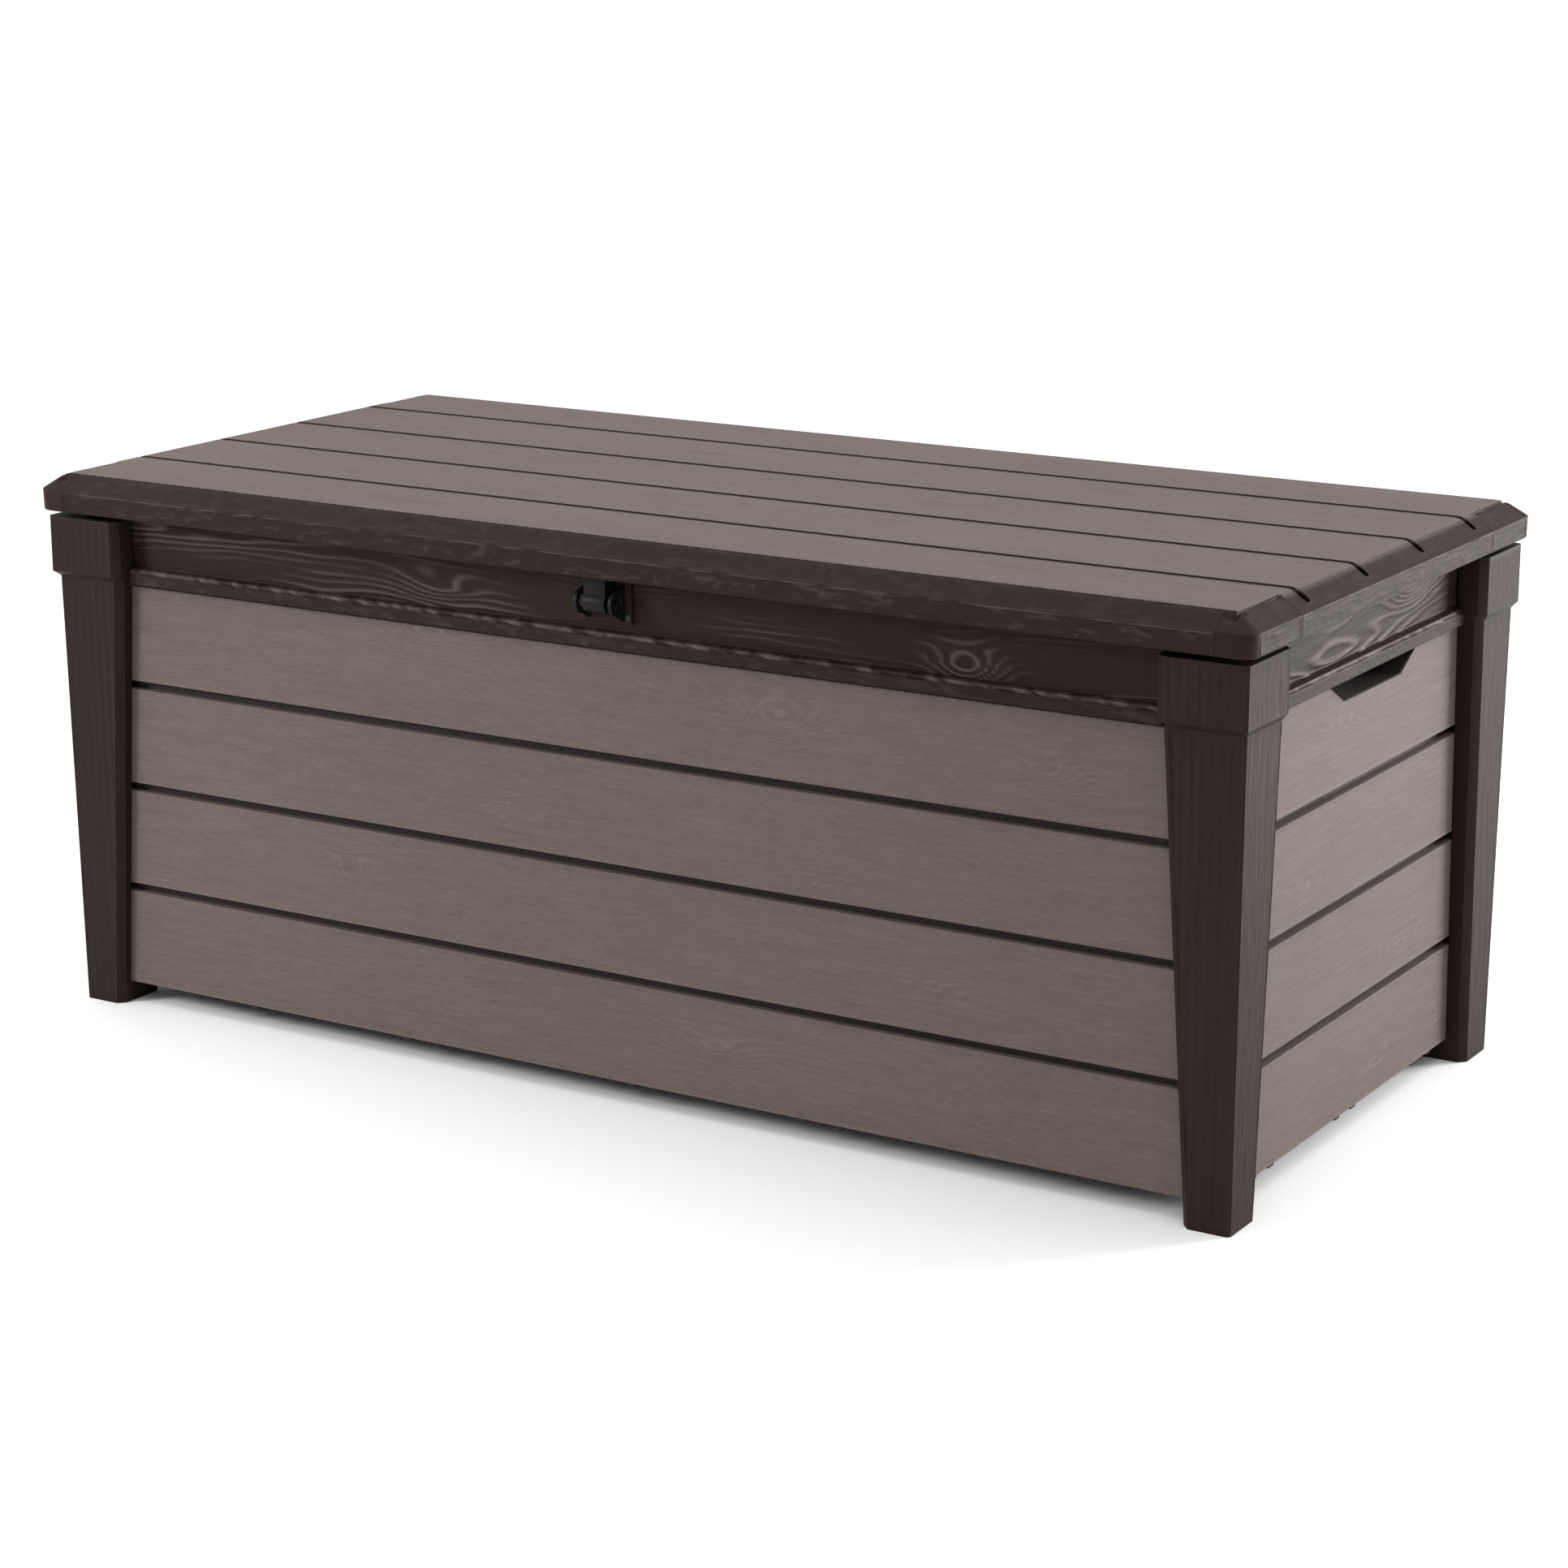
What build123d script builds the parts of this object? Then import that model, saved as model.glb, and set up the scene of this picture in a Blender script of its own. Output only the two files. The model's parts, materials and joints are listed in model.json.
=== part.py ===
"""Resin deck storage box: plank-look walls on dark backing panels, four tapered corner
posts, a hinged plank lid held up by two gas struts, and a padlock latch.

Millimetres. Origin at the centre of the footprint on the floor, +X along the length to the
right seen from the front, +Y towards the back (hinge side), +Z up. The lid is closed.
"""
from build123d import *
import os
from math import atan2, cos, degrees, hypot, radians, sin

# ---- Driving dimensions -------------------------------------------------------------
LENGTH, WIDTH, HEIGHT = 1450.0, 697.0, 603.0    # over the closed lid
SKIN = 2.5                                      # moulded wall thickness
SEAM = 0.4                                      # visible joint between lid frame pieces

FACE_X, FACE_Y = LENGTH / 2 - 37.5, WIDTH / 2 - 38.0    # plane of the wall planks
BASE_Z = 24.0                                   # underside of the walls
PLANK_ROWS = 4
PLANK_H = 107.75
PLANK_GAP = 9.0                                 # dark groove between two planks
PLANK_DEPTH = 10.0
PLANK_EDGE_R = 1.8
WALL_T = 3.0
WALL_RIB, WALL_RIB_T = 6.0, 3.0                 # stiffening ribs inside the walls
HOOK_DROP, HOOK_REACH, HOOK_HALF = 3.5, 7.5, 6.0    # snap hooks under the lowest planks

RAIL_BOTTOM, RAIL_TOP = 485.0, 561.5
RAIL_T = 3.0
BEAD_TOP = 503.0                                # moulded bead along the rail's lower edge
BEAD_PROUD = 9.0
RIM_DEPTH = 18.0                                # flange on top of the rail

LEG_TOP_Z, COLLAR_BOTTOM_Z, COLLAR_TOP_Z = 488.0, 494.0, 555.5
# Each section: outer reach in x and y, inner edge in x and y
FOOT_SECTION = (709.0, 325.3, 657.5, 265.5)
LEG_BASE_SECTION = (709.2, 325.6, 656.2, 264.1)
LEG_TOP_SECTION = (713.3, 331.2, 626.8, 244.4)
COLLAR_SECTION = (717.8, 339.5, 623.5, 240.5)
POST_BEVEL, POST_NOSE = 8.0, 3.0

LID_BOTTOM = 562.3
LID_EDGE_TOP = 585.8                            # top of the lid's upright edge
LID_RUN = 24.0                                  # plan width of the sloping border
LID_CORNER_R = 18.0
LID_SLOPE_CORNER_R = 3.0
LID_PLANKS = 5
LID_PITCH = 138.0                               # between two plank grooves
LID_GROOVE, LID_GROOVE_DEPTH = 9.0, 7.0
LID_FLANGE = 8.0
LEDGE = 12.0                                    # ledge that carries the lid planks
LIP = 18.0                                      # bottom lip of the lid frame
CAP_X, CAP_Y = 38.0, 110.0                       # corner caps along the front and the ends
NOTCH_W = 9.0
NOTCH_SHARE = 0.66                              # how far a groove runs down the border
RAIN_LIP_X, RAIN_LIP_Y, RAIN_LIP_H = 665.5, 286.0, 9.0

HINGE_Y, HINGE_Z = 342.0, 555.0
HINGE_X = (-480.0, 0.0, 480.0)
KNUCKLE_R, PIN_R, PIN_CLEARANCE = 6.0, 3.0, 0.05
KNUCKLE_HALF = 21.7                             # half length of the lid knuckle
HINGE_HALF = 30.0                               # half length of the whole hinge
HINGE_LEAF_T, HINGE_LEAF_LOW = 3.0, 512.0
HINGE_SCREW_X, LID_HINGE_SCREW_X = 18.0, 13.0    # either side of a hinge's middle
LID_OPEN_DEG = 75.0

GRIP_TOP_HALF, GRIP_BOTTOM_HALF = 110.0, 71.0
GRIP_Y = 24.0                                   # the hand holds sit towards the hinge side
GRIP_BOTTOM_Z = 460.0
GRIP_DEPTH = 37.0

STRUT_X = 655.0
STRUT_FOOT_AHEAD, STRUT_FOOT_BELOW = 100.0, 220.0   # cylinder pivot, from the hinge axis
STRUT_HEAD_AHEAD, STRUT_HEAD_BELOW = 110.0, 16.0    # rod pivot, from the hinge axis
CYLINDER_R, CYLINDER_BORE_R = 9.0, 7.0
CYLINDER_LOW, BORE_LOW, CYLINDER_TOP = 13.0, 20.0, 172.0    # heights above the foot pivot
ROD_R, ROD_LENGTH, PISTON_H, GLAND_H = 4.0, 178.0, 8.0, 8.0
EYE_R, EYE_HALF, STUD_R = 8.0, 5.0, 4.0
BRACKET_T = 3.0                                 # sheet of the strut brackets
WALL_BRACKET_HALF = (14.0, 26.0)                # half size in y and z
STRUT_SCREW_Z, STRUT_SCREW_X, STRUT_SCREW_Y = 19.0, 20.0, 8.0

LATCH_Y, LATCH_Z, LATCH_HOLE_R = -325.0, 534.0, 7.0
LATCH_HALF = 31.0                               # half width of the latch plate
LATCH_EAR_R, LATCH_EAR_T, LATCH_EAR_OUT = 13.0, 4.0, 23.0
LATCH_PLATE_T, LATCH_PLATE_LOW, LATCH_PLATE_TOP = 2.5, 512.0, 557.0
TONGUE_HALF, TONGUE_R, TONGUE_FOOT_T = 13.0, 11.0, 3.0
LATCH_SCREW_X, LATCH_SCREW_BELOW, TONGUE_SCREW_X = 27.0, 15.0, 15.0

FLOOR_TOP, FLOOR_RIB_H = 37.5, 10.5
SCREW_R, SCREW_HEAD_R, SCREW_HEAD_H = 2.1, 4.0, 2.2
SHORT_SCREW = 9.0

WALL_OUT_X, WALL_OUT_Y = FACE_X - PLANK_DEPTH, FACE_Y - PLANK_DEPTH
WALL_IN_X, WALL_IN_Y = WALL_OUT_X - WALL_T, WALL_OUT_Y - WALL_T
WALL_TOP = RAIL_TOP - RAIL_T
PLANK_TOP = BASE_Z + PLANK_ROWS * PLANK_H + (PLANK_ROWS - 1) * PLANK_GAP
LID_TOP_X, LID_TOP_Y = LENGTH / 2 - LID_RUN, WIDTH / 2 - LID_RUN
LID_GROOVES = [(i - LID_PLANKS / 2) * LID_PITCH for i in range(1, LID_PLANKS)]


# ---- Helpers ------------------------------------------------------------------------
def block(low_x, high_x, low_y, high_y, low_z, high_z):
    """Box between two corners."""
    size = (high_x - low_x, high_y - low_y, high_z - low_z)
    centre = ((low_x + high_x) / 2, (low_y + high_y) / 2, (low_z + high_z) / 2)
    return Pos(*centre) * Box(*size)


def rod_x(radius, low_x, high_x, y, z):
    """Cylinder along X."""
    return Pos((low_x + high_x) / 2, y, z) * Rot(0, 90, 0) * Cylinder(radius, high_x - low_x)


def prism_x(points_yz, low_x, high_x):
    """Straight-sided outline in the YZ plane, extruded along X."""
    outline = Plane.YZ.offset(low_x) * make_face(Polyline(*points_yz, close=True))
    return extrude(outline, high_x - low_x)


def mirror_x(shape):
    return mirror(shape, about=Plane.YZ)


def mirror_y(shape):
    return mirror(shape, about=Plane.XZ)


def turn_to_end(shape):
    """Turn something built for the front wall onto the right end."""
    return Rot(0, 0, 90) * shape


def group(shapes):
    return Compound(children=list(shapes))


# ---- Walls and planks -----------------------------------------------------------------
def plank(length, low_z):
    """Hollow wall plank for the front: a skin with a flange all round, open at the back."""
    body = block(-length / 2, length / 2, 0, PLANK_DEPTH, low_z, low_z + PLANK_H)
    front_edges = body.faces().sort_by(Axis.Y)[0].edges()
    body = fillet(front_edges, PLANK_EDGE_R)
    hollow = block(-length / 2 + SKIN, length / 2 - SKIN, SKIN, PLANK_DEPTH + 1,
                   low_z + SKIN, low_z + PLANK_H - SKIN)
    return body - hollow


def plank_rows():
    """Row number and lower edge of each wall plank, counted down from the top."""
    for row in range(PLANK_ROWS):
        low = PLANK_TOP - PLANK_H - row * (PLANK_H + PLANK_GAP)
        yield row + 1, low


def spread(half_length, count):
    """Middles of equal bays along a length centred on zero."""
    return [half_length * ((2 * i + 1) / count - 1) for i in range(count)]


def wall(half_length, rib_count, hook_places):
    """Backing panel for the front: outer face at y=0, inside towards +Y."""
    panel = block(-half_length, half_length, 0, WALL_T, BASE_Z, WALL_TOP)
    half_t = WALL_RIB_T / 2
    for x in spread(half_length, rib_count):
        panel += block(x - half_t, x + half_t, WALL_T, WALL_T + WALL_RIB, FLOOR_TOP + 8,
                       WALL_TOP - 22)
    for x in hook_places:
        panel += block(x - HOOK_HALF, x + HOOK_HALF, -HOOK_REACH, WALL_T, BASE_Z - HOOK_DROP,
                       BASE_Z)
    return panel


def hook_pairs(centres, half_spacing):
    return [c + s * half_spacing for c in centres for s in (-1, 1)]


def rail(half_length, bead_half):
    """Top rail for the front, outer face at y=0: upright fascia, rim flange and a bead."""
    section = block(-half_length, half_length, 0, RAIL_T, RAIL_BOTTOM, RAIL_TOP)
    section += block(-half_length, half_length, RAIL_T, RIM_DEPTH, RAIL_TOP - RAIL_T, RAIL_TOP)
    bead = [(0.0, RAIL_BOTTOM), (-BEAD_PROUD, RAIL_BOTTOM), (-BEAD_PROUD, BEAD_TOP - 6.0),
            (-BEAD_PROUD + 3.0, BEAD_TOP - 1.5), (0.0, BEAD_TOP)]
    return section + prism_x(bead, -bead_half, bead_half)


def grip_outline(grow):
    """Trapezoid hand hold in an end wall, as (y, z) points, grown outwards."""
    slope = (GRIP_TOP_HALF - GRIP_BOTTOM_HALF) / (PLANK_TOP - GRIP_BOTTOM_Z)
    side = grow * hypot(1.0, slope)
    top, bottom = PLANK_TOP + grow, GRIP_BOTTOM_Z - grow
    top_half = GRIP_TOP_HALF + side + slope * grow
    bottom_half = GRIP_BOTTOM_HALF + side - slope * grow
    return [(GRIP_Y - top_half, top), (GRIP_Y + top_half, top),
            (GRIP_Y + bottom_half, bottom), (GRIP_Y - bottom_half, bottom)]


def grip_cup():
    """Hand-hold cup for the right end."""
    mouth_x = FACE_X - SKIN
    shell = prism_x(grip_outline(SKIN), FACE_X - GRIP_DEPTH - SKIN, mouth_x)
    return shell - prism_x(grip_outline(0.0), FACE_X - GRIP_DEPTH, mouth_x + 1)


# ---- Corner posts ---------------------------------------------------------------------
def post_outline(section, z, inset=0.0, open_back=0.0):
    """L-shaped plan of the back right post, in the x>0, y>0 quadrant."""
    reach_x, reach_y, edge_x, edge_y = section
    reach_x, reach_y = reach_x - inset, reach_y - inset
    edge_x, edge_y = edge_x + inset, edge_y + inset
    back_x, back_y = FACE_X - open_back, FACE_Y - open_back
    bevel, nose = POST_BEVEL - inset, POST_NOSE
    points = [(edge_x, back_y), (edge_x, reach_y - bevel), (edge_x + bevel, reach_y),
              (reach_x - nose, reach_y), (reach_x, reach_y - nose), (reach_x, edge_y + bevel),
              (reach_x - bevel, edge_y), (back_x, edge_y), (back_x, back_y)]
    return Polyline(*[(x, y, z) for x, y in points], close=True)


def foot_outline(section, z, inset=0.0):
    """Closed rectangular plan of the foot below the walls."""
    reach_x, reach_y, edge_x, edge_y = section
    low_x, low_y = edge_x + inset, edge_y + inset
    high_x, high_y = reach_x - inset, reach_y - inset
    bevel, nose = POST_BEVEL - inset, POST_NOSE
    points = [(low_x, low_y), (low_x, high_y - bevel), (low_x + bevel, high_y),
              (high_x - nose, high_y), (high_x, high_y - nose), (high_x, low_y + bevel),
              (high_x - bevel, low_y)]
    return Polyline(*[(x, y, z) for x, y in points], close=True)


def ruled(lower, upper):
    return Solid.make_loft([Wire(lower.edges()), Wire(upper.edges())], ruled=True)


def post():
    """Back right corner post: open-backed L above a closed foot, with a stepped collar."""
    foot = ruled(foot_outline(FOOT_SECTION, 0), foot_outline(LEG_BASE_SECTION, BASE_Z))
    leg = ruled(post_outline(LEG_BASE_SECTION, BASE_Z), post_outline(LEG_TOP_SECTION, LEG_TOP_Z))
    step = ruled(post_outline(LEG_TOP_SECTION, LEG_TOP_Z),
                 post_outline(COLLAR_SECTION, COLLAR_BOTTOM_Z))
    collar = ruled(post_outline(COLLAR_SECTION, COLLAR_BOTTOM_Z),
                   post_outline(COLLAR_SECTION, COLLAR_TOP_Z))
    solid = Part() + foot + leg + step + collar
    inset, opened = SKIN + 0.5, 1.0
    foot_void = ruled(foot_outline(FOOT_SECTION, inset, inset),
                      foot_outline(LEG_BASE_SECTION, BASE_Z + 0.01, inset))
    leg_void = ruled(post_outline(LEG_BASE_SECTION, BASE_Z, inset, opened),
                     post_outline(LEG_TOP_SECTION, LEG_TOP_Z, inset, opened))
    step_void = ruled(post_outline(LEG_TOP_SECTION, LEG_TOP_Z, inset, opened),
                      post_outline(COLLAR_SECTION, COLLAR_BOTTOM_Z, inset, opened))
    collar_void = ruled(post_outline(COLLAR_SECTION, COLLAR_BOTTOM_Z, inset, opened),
                        post_outline(COLLAR_SECTION, COLLAR_TOP_Z - inset, inset, opened))
    return solid - foot_void - leg_void - step_void - collar_void


# ---- Floor ----------------------------------------------------------------------------
def floor_panel():
    panel = block(-WALL_IN_X, WALL_IN_X, -WALL_IN_Y, WALL_IN_Y, FLOOR_TOP - SKIN, FLOOR_TOP)
    rib_top = FLOOR_TOP - SKIN
    rib_low = rib_top - FLOOR_RIB_H
    half_t = WALL_RIB_T / 2
    for x in spread(WALL_IN_X, 9):
        panel += block(x - half_t, x + half_t, -WALL_IN_Y, WALL_IN_Y, rib_low, rib_top)
    for y in spread(WALL_IN_Y, 4):
        panel += block(-WALL_IN_X, WALL_IN_X, y - half_t, y + half_t, rib_low, rib_top)
    return panel


# ---- Lid ------------------------------------------------------------------------------
def lid_slab(inset, low_z, high_z, foot_bevel=0.0):
    """Outer form of the lid moved inwards by inset, between two heights."""
    drop = HEIGHT - LID_EDGE_TOP
    length = hypot(LID_RUN, drop)
    turn_z = LID_EDGE_TOP + inset * (drop - length) / LID_RUN
    radius = LID_CORNER_R - inset

    def shrink(z):
        return (z - LID_EDGE_TOP) * LID_RUN / drop + inset * length / drop

    share = (high_z - turn_z) / (HEIGHT - turn_z)
    top_radius = radius + share * (LID_SLOPE_CORNER_R - radius)
    levels = [(low_z, inset, radius), (turn_z, inset, radius), (high_z, shrink(high_z), top_radius)]
    if foot_bevel:
        levels[0:1] = [(low_z, inset + foot_bevel, radius - foot_bevel),
                       (low_z + foot_bevel, inset, radius)]
    wires = []
    for z, cut, corner in levels:
        sheet = Pos(0, 0, z) * RectangleRounded(LENGTH - 2 * cut, WIDTH - 2 * cut, corner)
        wires.append(sheet.face().outer_wire())
    return Solid.make_loft(wires, ruled=True)


def lid_frame():
    """The whole dark border of the lid, before it is divided into rails and caps."""
    ledge_low = HEIGHT - 2 * SKIN
    frame = Part() + lid_slab(0.0, LID_BOTTOM, HEIGHT, 1.2)
    frame -= lid_slab(SKIN, LID_BOTTOM + SKIN, ledge_low)
    frame -= block(-LID_TOP_X, LID_TOP_X, -LID_TOP_Y, LID_TOP_Y, HEIGHT - SKIN, HEIGHT + 1)
    inner_x, inner_y = LID_TOP_X - LEDGE, LID_TOP_Y - LEDGE
    frame -= block(-inner_x, inner_x, -inner_y, inner_y, ledge_low - 1, HEIGHT)
    lip_x, lip_y = LENGTH / 2 - LIP, WIDTH / 2 - LIP
    return frame - block(-lip_x, lip_x, -lip_y, lip_y, LID_BOTTOM - 1, LID_BOTTOM + SKIN + 1)


def border_notch(y):
    """Cutter that carries a plank groove down the right end's sloping border."""
    drop = HEIGHT - LID_EDGE_TOP
    reach = NOTCH_SHARE * hypot(LID_RUN, drop)
    half = NOTCH_W / 2
    slot = Pos(reach / 2 - half / 2 - 2, 0, 0) * Box(reach - half + 4, NOTCH_W, 8)
    slot += Pos(reach - half, 0, 0) * Cylinder(half, 8)
    tilt = degrees(atan2(drop, LID_RUN))
    return Pos(LID_TOP_X, y, HEIGHT) * Rot(0, tilt, 0) * slot


def lid_plank(low_y, high_y):
    skin_z = HEIGHT - SKIN
    board = block(-LID_TOP_X, LID_TOP_X, low_y, high_y, skin_z, HEIGHT)
    for y0, y1 in ((low_y, low_y + SKIN), (high_y - SKIN, high_y)):
        if abs(y0) < LID_TOP_Y - LEDGE and abs(y1) < LID_TOP_Y - LEDGE:
            half = LID_TOP_X - LEDGE
            board += block(-half, half, y0, y1, skin_z - LID_FLANGE, skin_z)
    return board


def lid_plank_edges():
    """Lower and upper y of each lid plank, from front to back."""
    edges = [-LID_TOP_Y]
    for y in LID_GROOVES:
        edges += [y - LID_GROOVE / 2, y + LID_GROOVE / 2]
    edges.append(LID_TOP_Y)
    return list(zip(edges[0::2], edges[1::2]))


def lid_beams():
    side, wall_t, half = 20.0, 1.2, 640.0
    low_z = LID_BOTTOM + SKIN
    tubes = []
    for y in (-LID_PITCH, LID_PITCH):
        tube = block(-half, half, y - side / 2, y + side / 2, low_z, low_z + side)
        tubes.append(tube - block(-half - 1, half + 1, y - side / 2 + wall_t, y + side / 2 - wall_t,
                                  low_z + wall_t, low_z + side - wall_t))
    return tubes


def lid_inner_panel(beams):
    lip_x, lip_y = LENGTH / 2 - LIP, WIDTH / 2 - LIP
    plate_top = LID_BOTTOM + SKIN
    flange_low = HEIGHT - SKIN - LID_FLANGE
    panel = block(-lip_x, lip_x, -lip_y, lip_y, LID_BOTTOM, plate_top)
    rib_half = LID_TOP_X - LEDGE - 1
    cross_half = LID_TOP_Y - LEDGE - 1
    half_t, strip_half = SKIN / 2, LID_GROOVE / 2 - 0.2
    groove_floor = HEIGHT - LID_GROOVE_DEPTH
    for y in LID_GROOVES:
        panel += block(-rib_half, rib_half, y - half_t, y + half_t, plate_top, groove_floor)
        panel += block(-rib_half, rib_half, y - strip_half, y + strip_half,
                       groove_floor - SKIN, groove_floor)
    for x in spread(rib_half, 7):
        panel += block(x - half_t, x + half_t, -cross_half, cross_half, plate_top, flange_low)
    lip_low = LID_BOTTOM - RAIN_LIP_H
    for s in (-1, 1):
        x, y = s * RAIN_LIP_X, s * RAIN_LIP_Y
        panel += block(x - half_t, x + half_t, -RAIN_LIP_Y, RAIN_LIP_Y, lip_low, LID_BOTTOM)
        panel += block(-RAIN_LIP_X, RAIN_LIP_X, y - half_t, y + half_t, lip_low, LID_BOTTOM)
    for beam in beams:
        box = beam.bounding_box()
        panel -= block(box.min.X, box.max.X, box.min.Y, box.max.Y, plate_top, box.max.Z)
    return panel


# ---- Hinges ---------------------------------------------------------------------------
def knuckle_arm(low_x, high_x, foot_points):
    """Plate in the YZ plane that ends in a round knuckle on the hinge axis."""
    arm = prism_x(foot_points, low_x, high_x) + rod_x(KNUCKLE_R, low_x, high_x, HINGE_Y, HINGE_Z)
    return arm - rod_x(PIN_R, low_x - 1, high_x + 1, HINGE_Y, HINGE_Z)


def hinge_bracket(x):
    """Box half of a hinge: leaf on the back rail with two knuckle arms."""
    plate_y = FACE_Y + HINGE_LEAF_T
    leaf = block(x - HINGE_HALF, x + HINGE_HALF, FACE_Y, plate_y, HINGE_LEAF_LOW, HINGE_Z)
    arm_points = [(plate_y, HINGE_LEAF_LOW + 14), (plate_y, HINGE_Z + 4),
                  (HINGE_Y, HINGE_Z + KNUCKLE_R), (HINGE_Y + 3, HINGE_Z - 5)]
    for s in (-1, 1):
        low, high = sorted((x + s * (KNUCKLE_HALF + 0.3), x + s * HINGE_HALF))
        leaf += knuckle_arm(low, high, arm_points)
    return leaf


def hinge_leaf(x):
    """Lid half of a hinge: leaf under the lid's back lip with one long knuckle."""
    low, high = x - KNUCKLE_HALF, x + KNUCKLE_HALF
    leaf_low = LID_BOTTOM - HINGE_LEAF_T
    leaf = block(low, high, FACE_Y + 4, WIDTH / 2 - 2, leaf_low, LID_BOTTOM)
    neck = [(HINGE_Y - 5, leaf_low), (HINGE_Y - 4, HINGE_Z), (HINGE_Y + 4, HINGE_Z),
            (HINGE_Y + 5, leaf_low)]
    leaf += prism_x(neck, low, high) + rod_x(KNUCKLE_R - 0.5, low, high, HINGE_Y, HINGE_Z)
    return leaf - rod_x(PIN_R + PIN_CLEARANCE, low - 1, high + 1, HINGE_Y, HINGE_Z)


def hinge_pin(x):
    return rod_x(PIN_R, x - HINGE_HALF, x + HINGE_HALF, HINGE_Y, HINGE_Z)


# ---- Gas struts (right side) ------------------------------------------------------------
STRUT_FOOT = (HINGE_Y - STRUT_FOOT_AHEAD, HINGE_Z - STRUT_FOOT_BELOW)
STRUT_HEAD = (HINGE_Y - STRUT_HEAD_AHEAD, HINGE_Z - STRUT_HEAD_BELOW)
STRUT_CLOSED = hypot(STRUT_HEAD[0] - STRUT_FOOT[0], STRUT_HEAD[1] - STRUT_FOOT[1])
STRUT_LEAN = degrees(atan2(STRUT_FOOT[0] - STRUT_HEAD[0], STRUT_HEAD[1] - STRUT_FOOT[1]))


def along_strut(shape):
    """Place a shape drawn upright from the foot pivot."""
    return Pos(STRUT_X, *STRUT_FOOT) * Rot(STRUT_LEAN, 0, 0) * shape


def upright(radius, low, high):
    return Pos(0, 0, (low + high) / 2) * Cylinder(radius, high - low)


def strut_cylinder():
    body = upright(CYLINDER_R, CYLINDER_LOW, CYLINDER_TOP) + upright(ROD_R, 5, CYLINDER_LOW)
    body += rod_x(EYE_R, -EYE_HALF, EYE_HALF, 0, 0)
    body -= upright(CYLINDER_BORE_R, BORE_LOW, CYLINDER_TOP - GLAND_H)
    body -= upright(ROD_R + PIN_CLEARANCE, CYLINDER_TOP - GLAND_H - 1, CYLINDER_TOP + 1)
    body -= rod_x(STUD_R + PIN_CLEARANCE, -EYE_HALF - 1, EYE_HALF + 1, 0, 0)
    return along_strut(body)


def strut_rod():
    low = STRUT_CLOSED - ROD_LENGTH
    body = upright(ROD_R, low, STRUT_CLOSED - 5)
    body += upright(CYLINDER_BORE_R - PIN_CLEARANCE, low, low + PISTON_H)
    body += rod_x(EYE_R, -EYE_HALF, EYE_HALF, 0, STRUT_CLOSED)
    body -= rod_x(STUD_R, -EYE_HALF - 1, EYE_HALF + 1, 0, STRUT_CLOSED)
    return along_strut(body)


def strut_wall_bracket():
    y, z = STRUT_FOOT
    half_y, half_z = WALL_BRACKET_HALF
    plate_x = WALL_IN_X - BRACKET_T
    plate = block(plate_x, WALL_IN_X, y - half_y, y + half_y, z - half_z, z + half_z)
    plate += rod_x(STUD_R, STRUT_X - EYE_HALF - 0.5, plate_x, y, z)
    plate += rod_x(STUD_R + 2.5, STRUT_X - EYE_HALF - 2.5, STRUT_X - EYE_HALF - 0.3, y, z)
    return plate + rod_x(STUD_R + 3, STRUT_X + EYE_HALF + 0.3, plate_x, y, z)


def strut_lid_bracket():
    y, z = STRUT_HEAD
    tab_x = STRUT_X - EYE_HALF - 3.5
    plate_low = LID_BOTTOM - BRACKET_T
    plate = block(tab_x - 26, tab_x, y - 14, y + 14, plate_low, LID_BOTTOM)
    plate += block(tab_x - BRACKET_T, tab_x, y - 9, y + 9, z, plate_low)
    plate += rod_x(9, tab_x - BRACKET_T, tab_x, y, z)
    return plate + rod_x(STUD_R + 1.5, tab_x, STRUT_X - EYE_HALF - 0.5, y, z)


# ---- Latch ----------------------------------------------------------------------------
def latch_base():
    """Plate on the front rail with two ringed ears for a padlock."""
    plate_y = -FACE_Y - LATCH_PLATE_T
    base = block(-LATCH_HALF, LATCH_HALF, plate_y, -FACE_Y, LATCH_PLATE_LOW, LATCH_PLATE_TOP)
    for s in (-1, 1):
        low, high = sorted((s * LATCH_EAR_OUT, s * (LATCH_EAR_OUT - LATCH_EAR_T)))
        web = [(plate_y, LATCH_Z - 20), (plate_y, LATCH_Z + 18),
               (LATCH_Y, LATCH_Z + LATCH_EAR_R), (LATCH_Y, LATCH_Z - LATCH_EAR_R)]
        base += prism_x(web, low, high) + rod_x(LATCH_EAR_R, low, high, LATCH_Y, LATCH_Z)
    return base - rod_x(LATCH_HOLE_R, -40, 40, LATCH_Y, LATCH_Z)


def latch_tongue():
    """Eye that hangs from the lid between the two ears."""
    low, high = -TONGUE_HALF, TONGUE_HALF
    back_y = -FACE_Y - 4.0
    tongue = block(low, high, LATCH_Y - 8, back_y, LATCH_Z, LID_BOTTOM)
    tongue += rod_x(TONGUE_R, low, high, LATCH_Y, LATCH_Z)
    tongue -= block(low - 1, high + 1, back_y, back_y + 20, RAIL_BOTTOM, LID_BOTTOM + 1)
    foot_low = LID_BOTTOM - TONGUE_FOOT_T
    tongue += block(low - 6, high + 6, LATCH_Y - 10, back_y, foot_low, LID_BOTTOM)
    return tongue - rod_x(LATCH_HOLE_R, -40, 40, LATCH_Y, LATCH_Z)


# ---- Fasteners ------------------------------------------------------------------------
def screw(place, direction, length):
    """Pan-head screw whose head sits at place and whose shank runs along direction."""
    body = Pos(0, 0, -SCREW_HEAD_H / 2) * Cylinder(SCREW_HEAD_R, SCREW_HEAD_H)
    body += Pos(0, 0, length / 2) * Cylinder(SCREW_R, length)
    return Plane(origin=place, z_dir=direction) * body


def drill(shape, screws):
    for fastener in screws:
        shape = shape - fastener
    return shape


# ---- Assembly -------------------------------------------------------------------------
parts = {}

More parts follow.
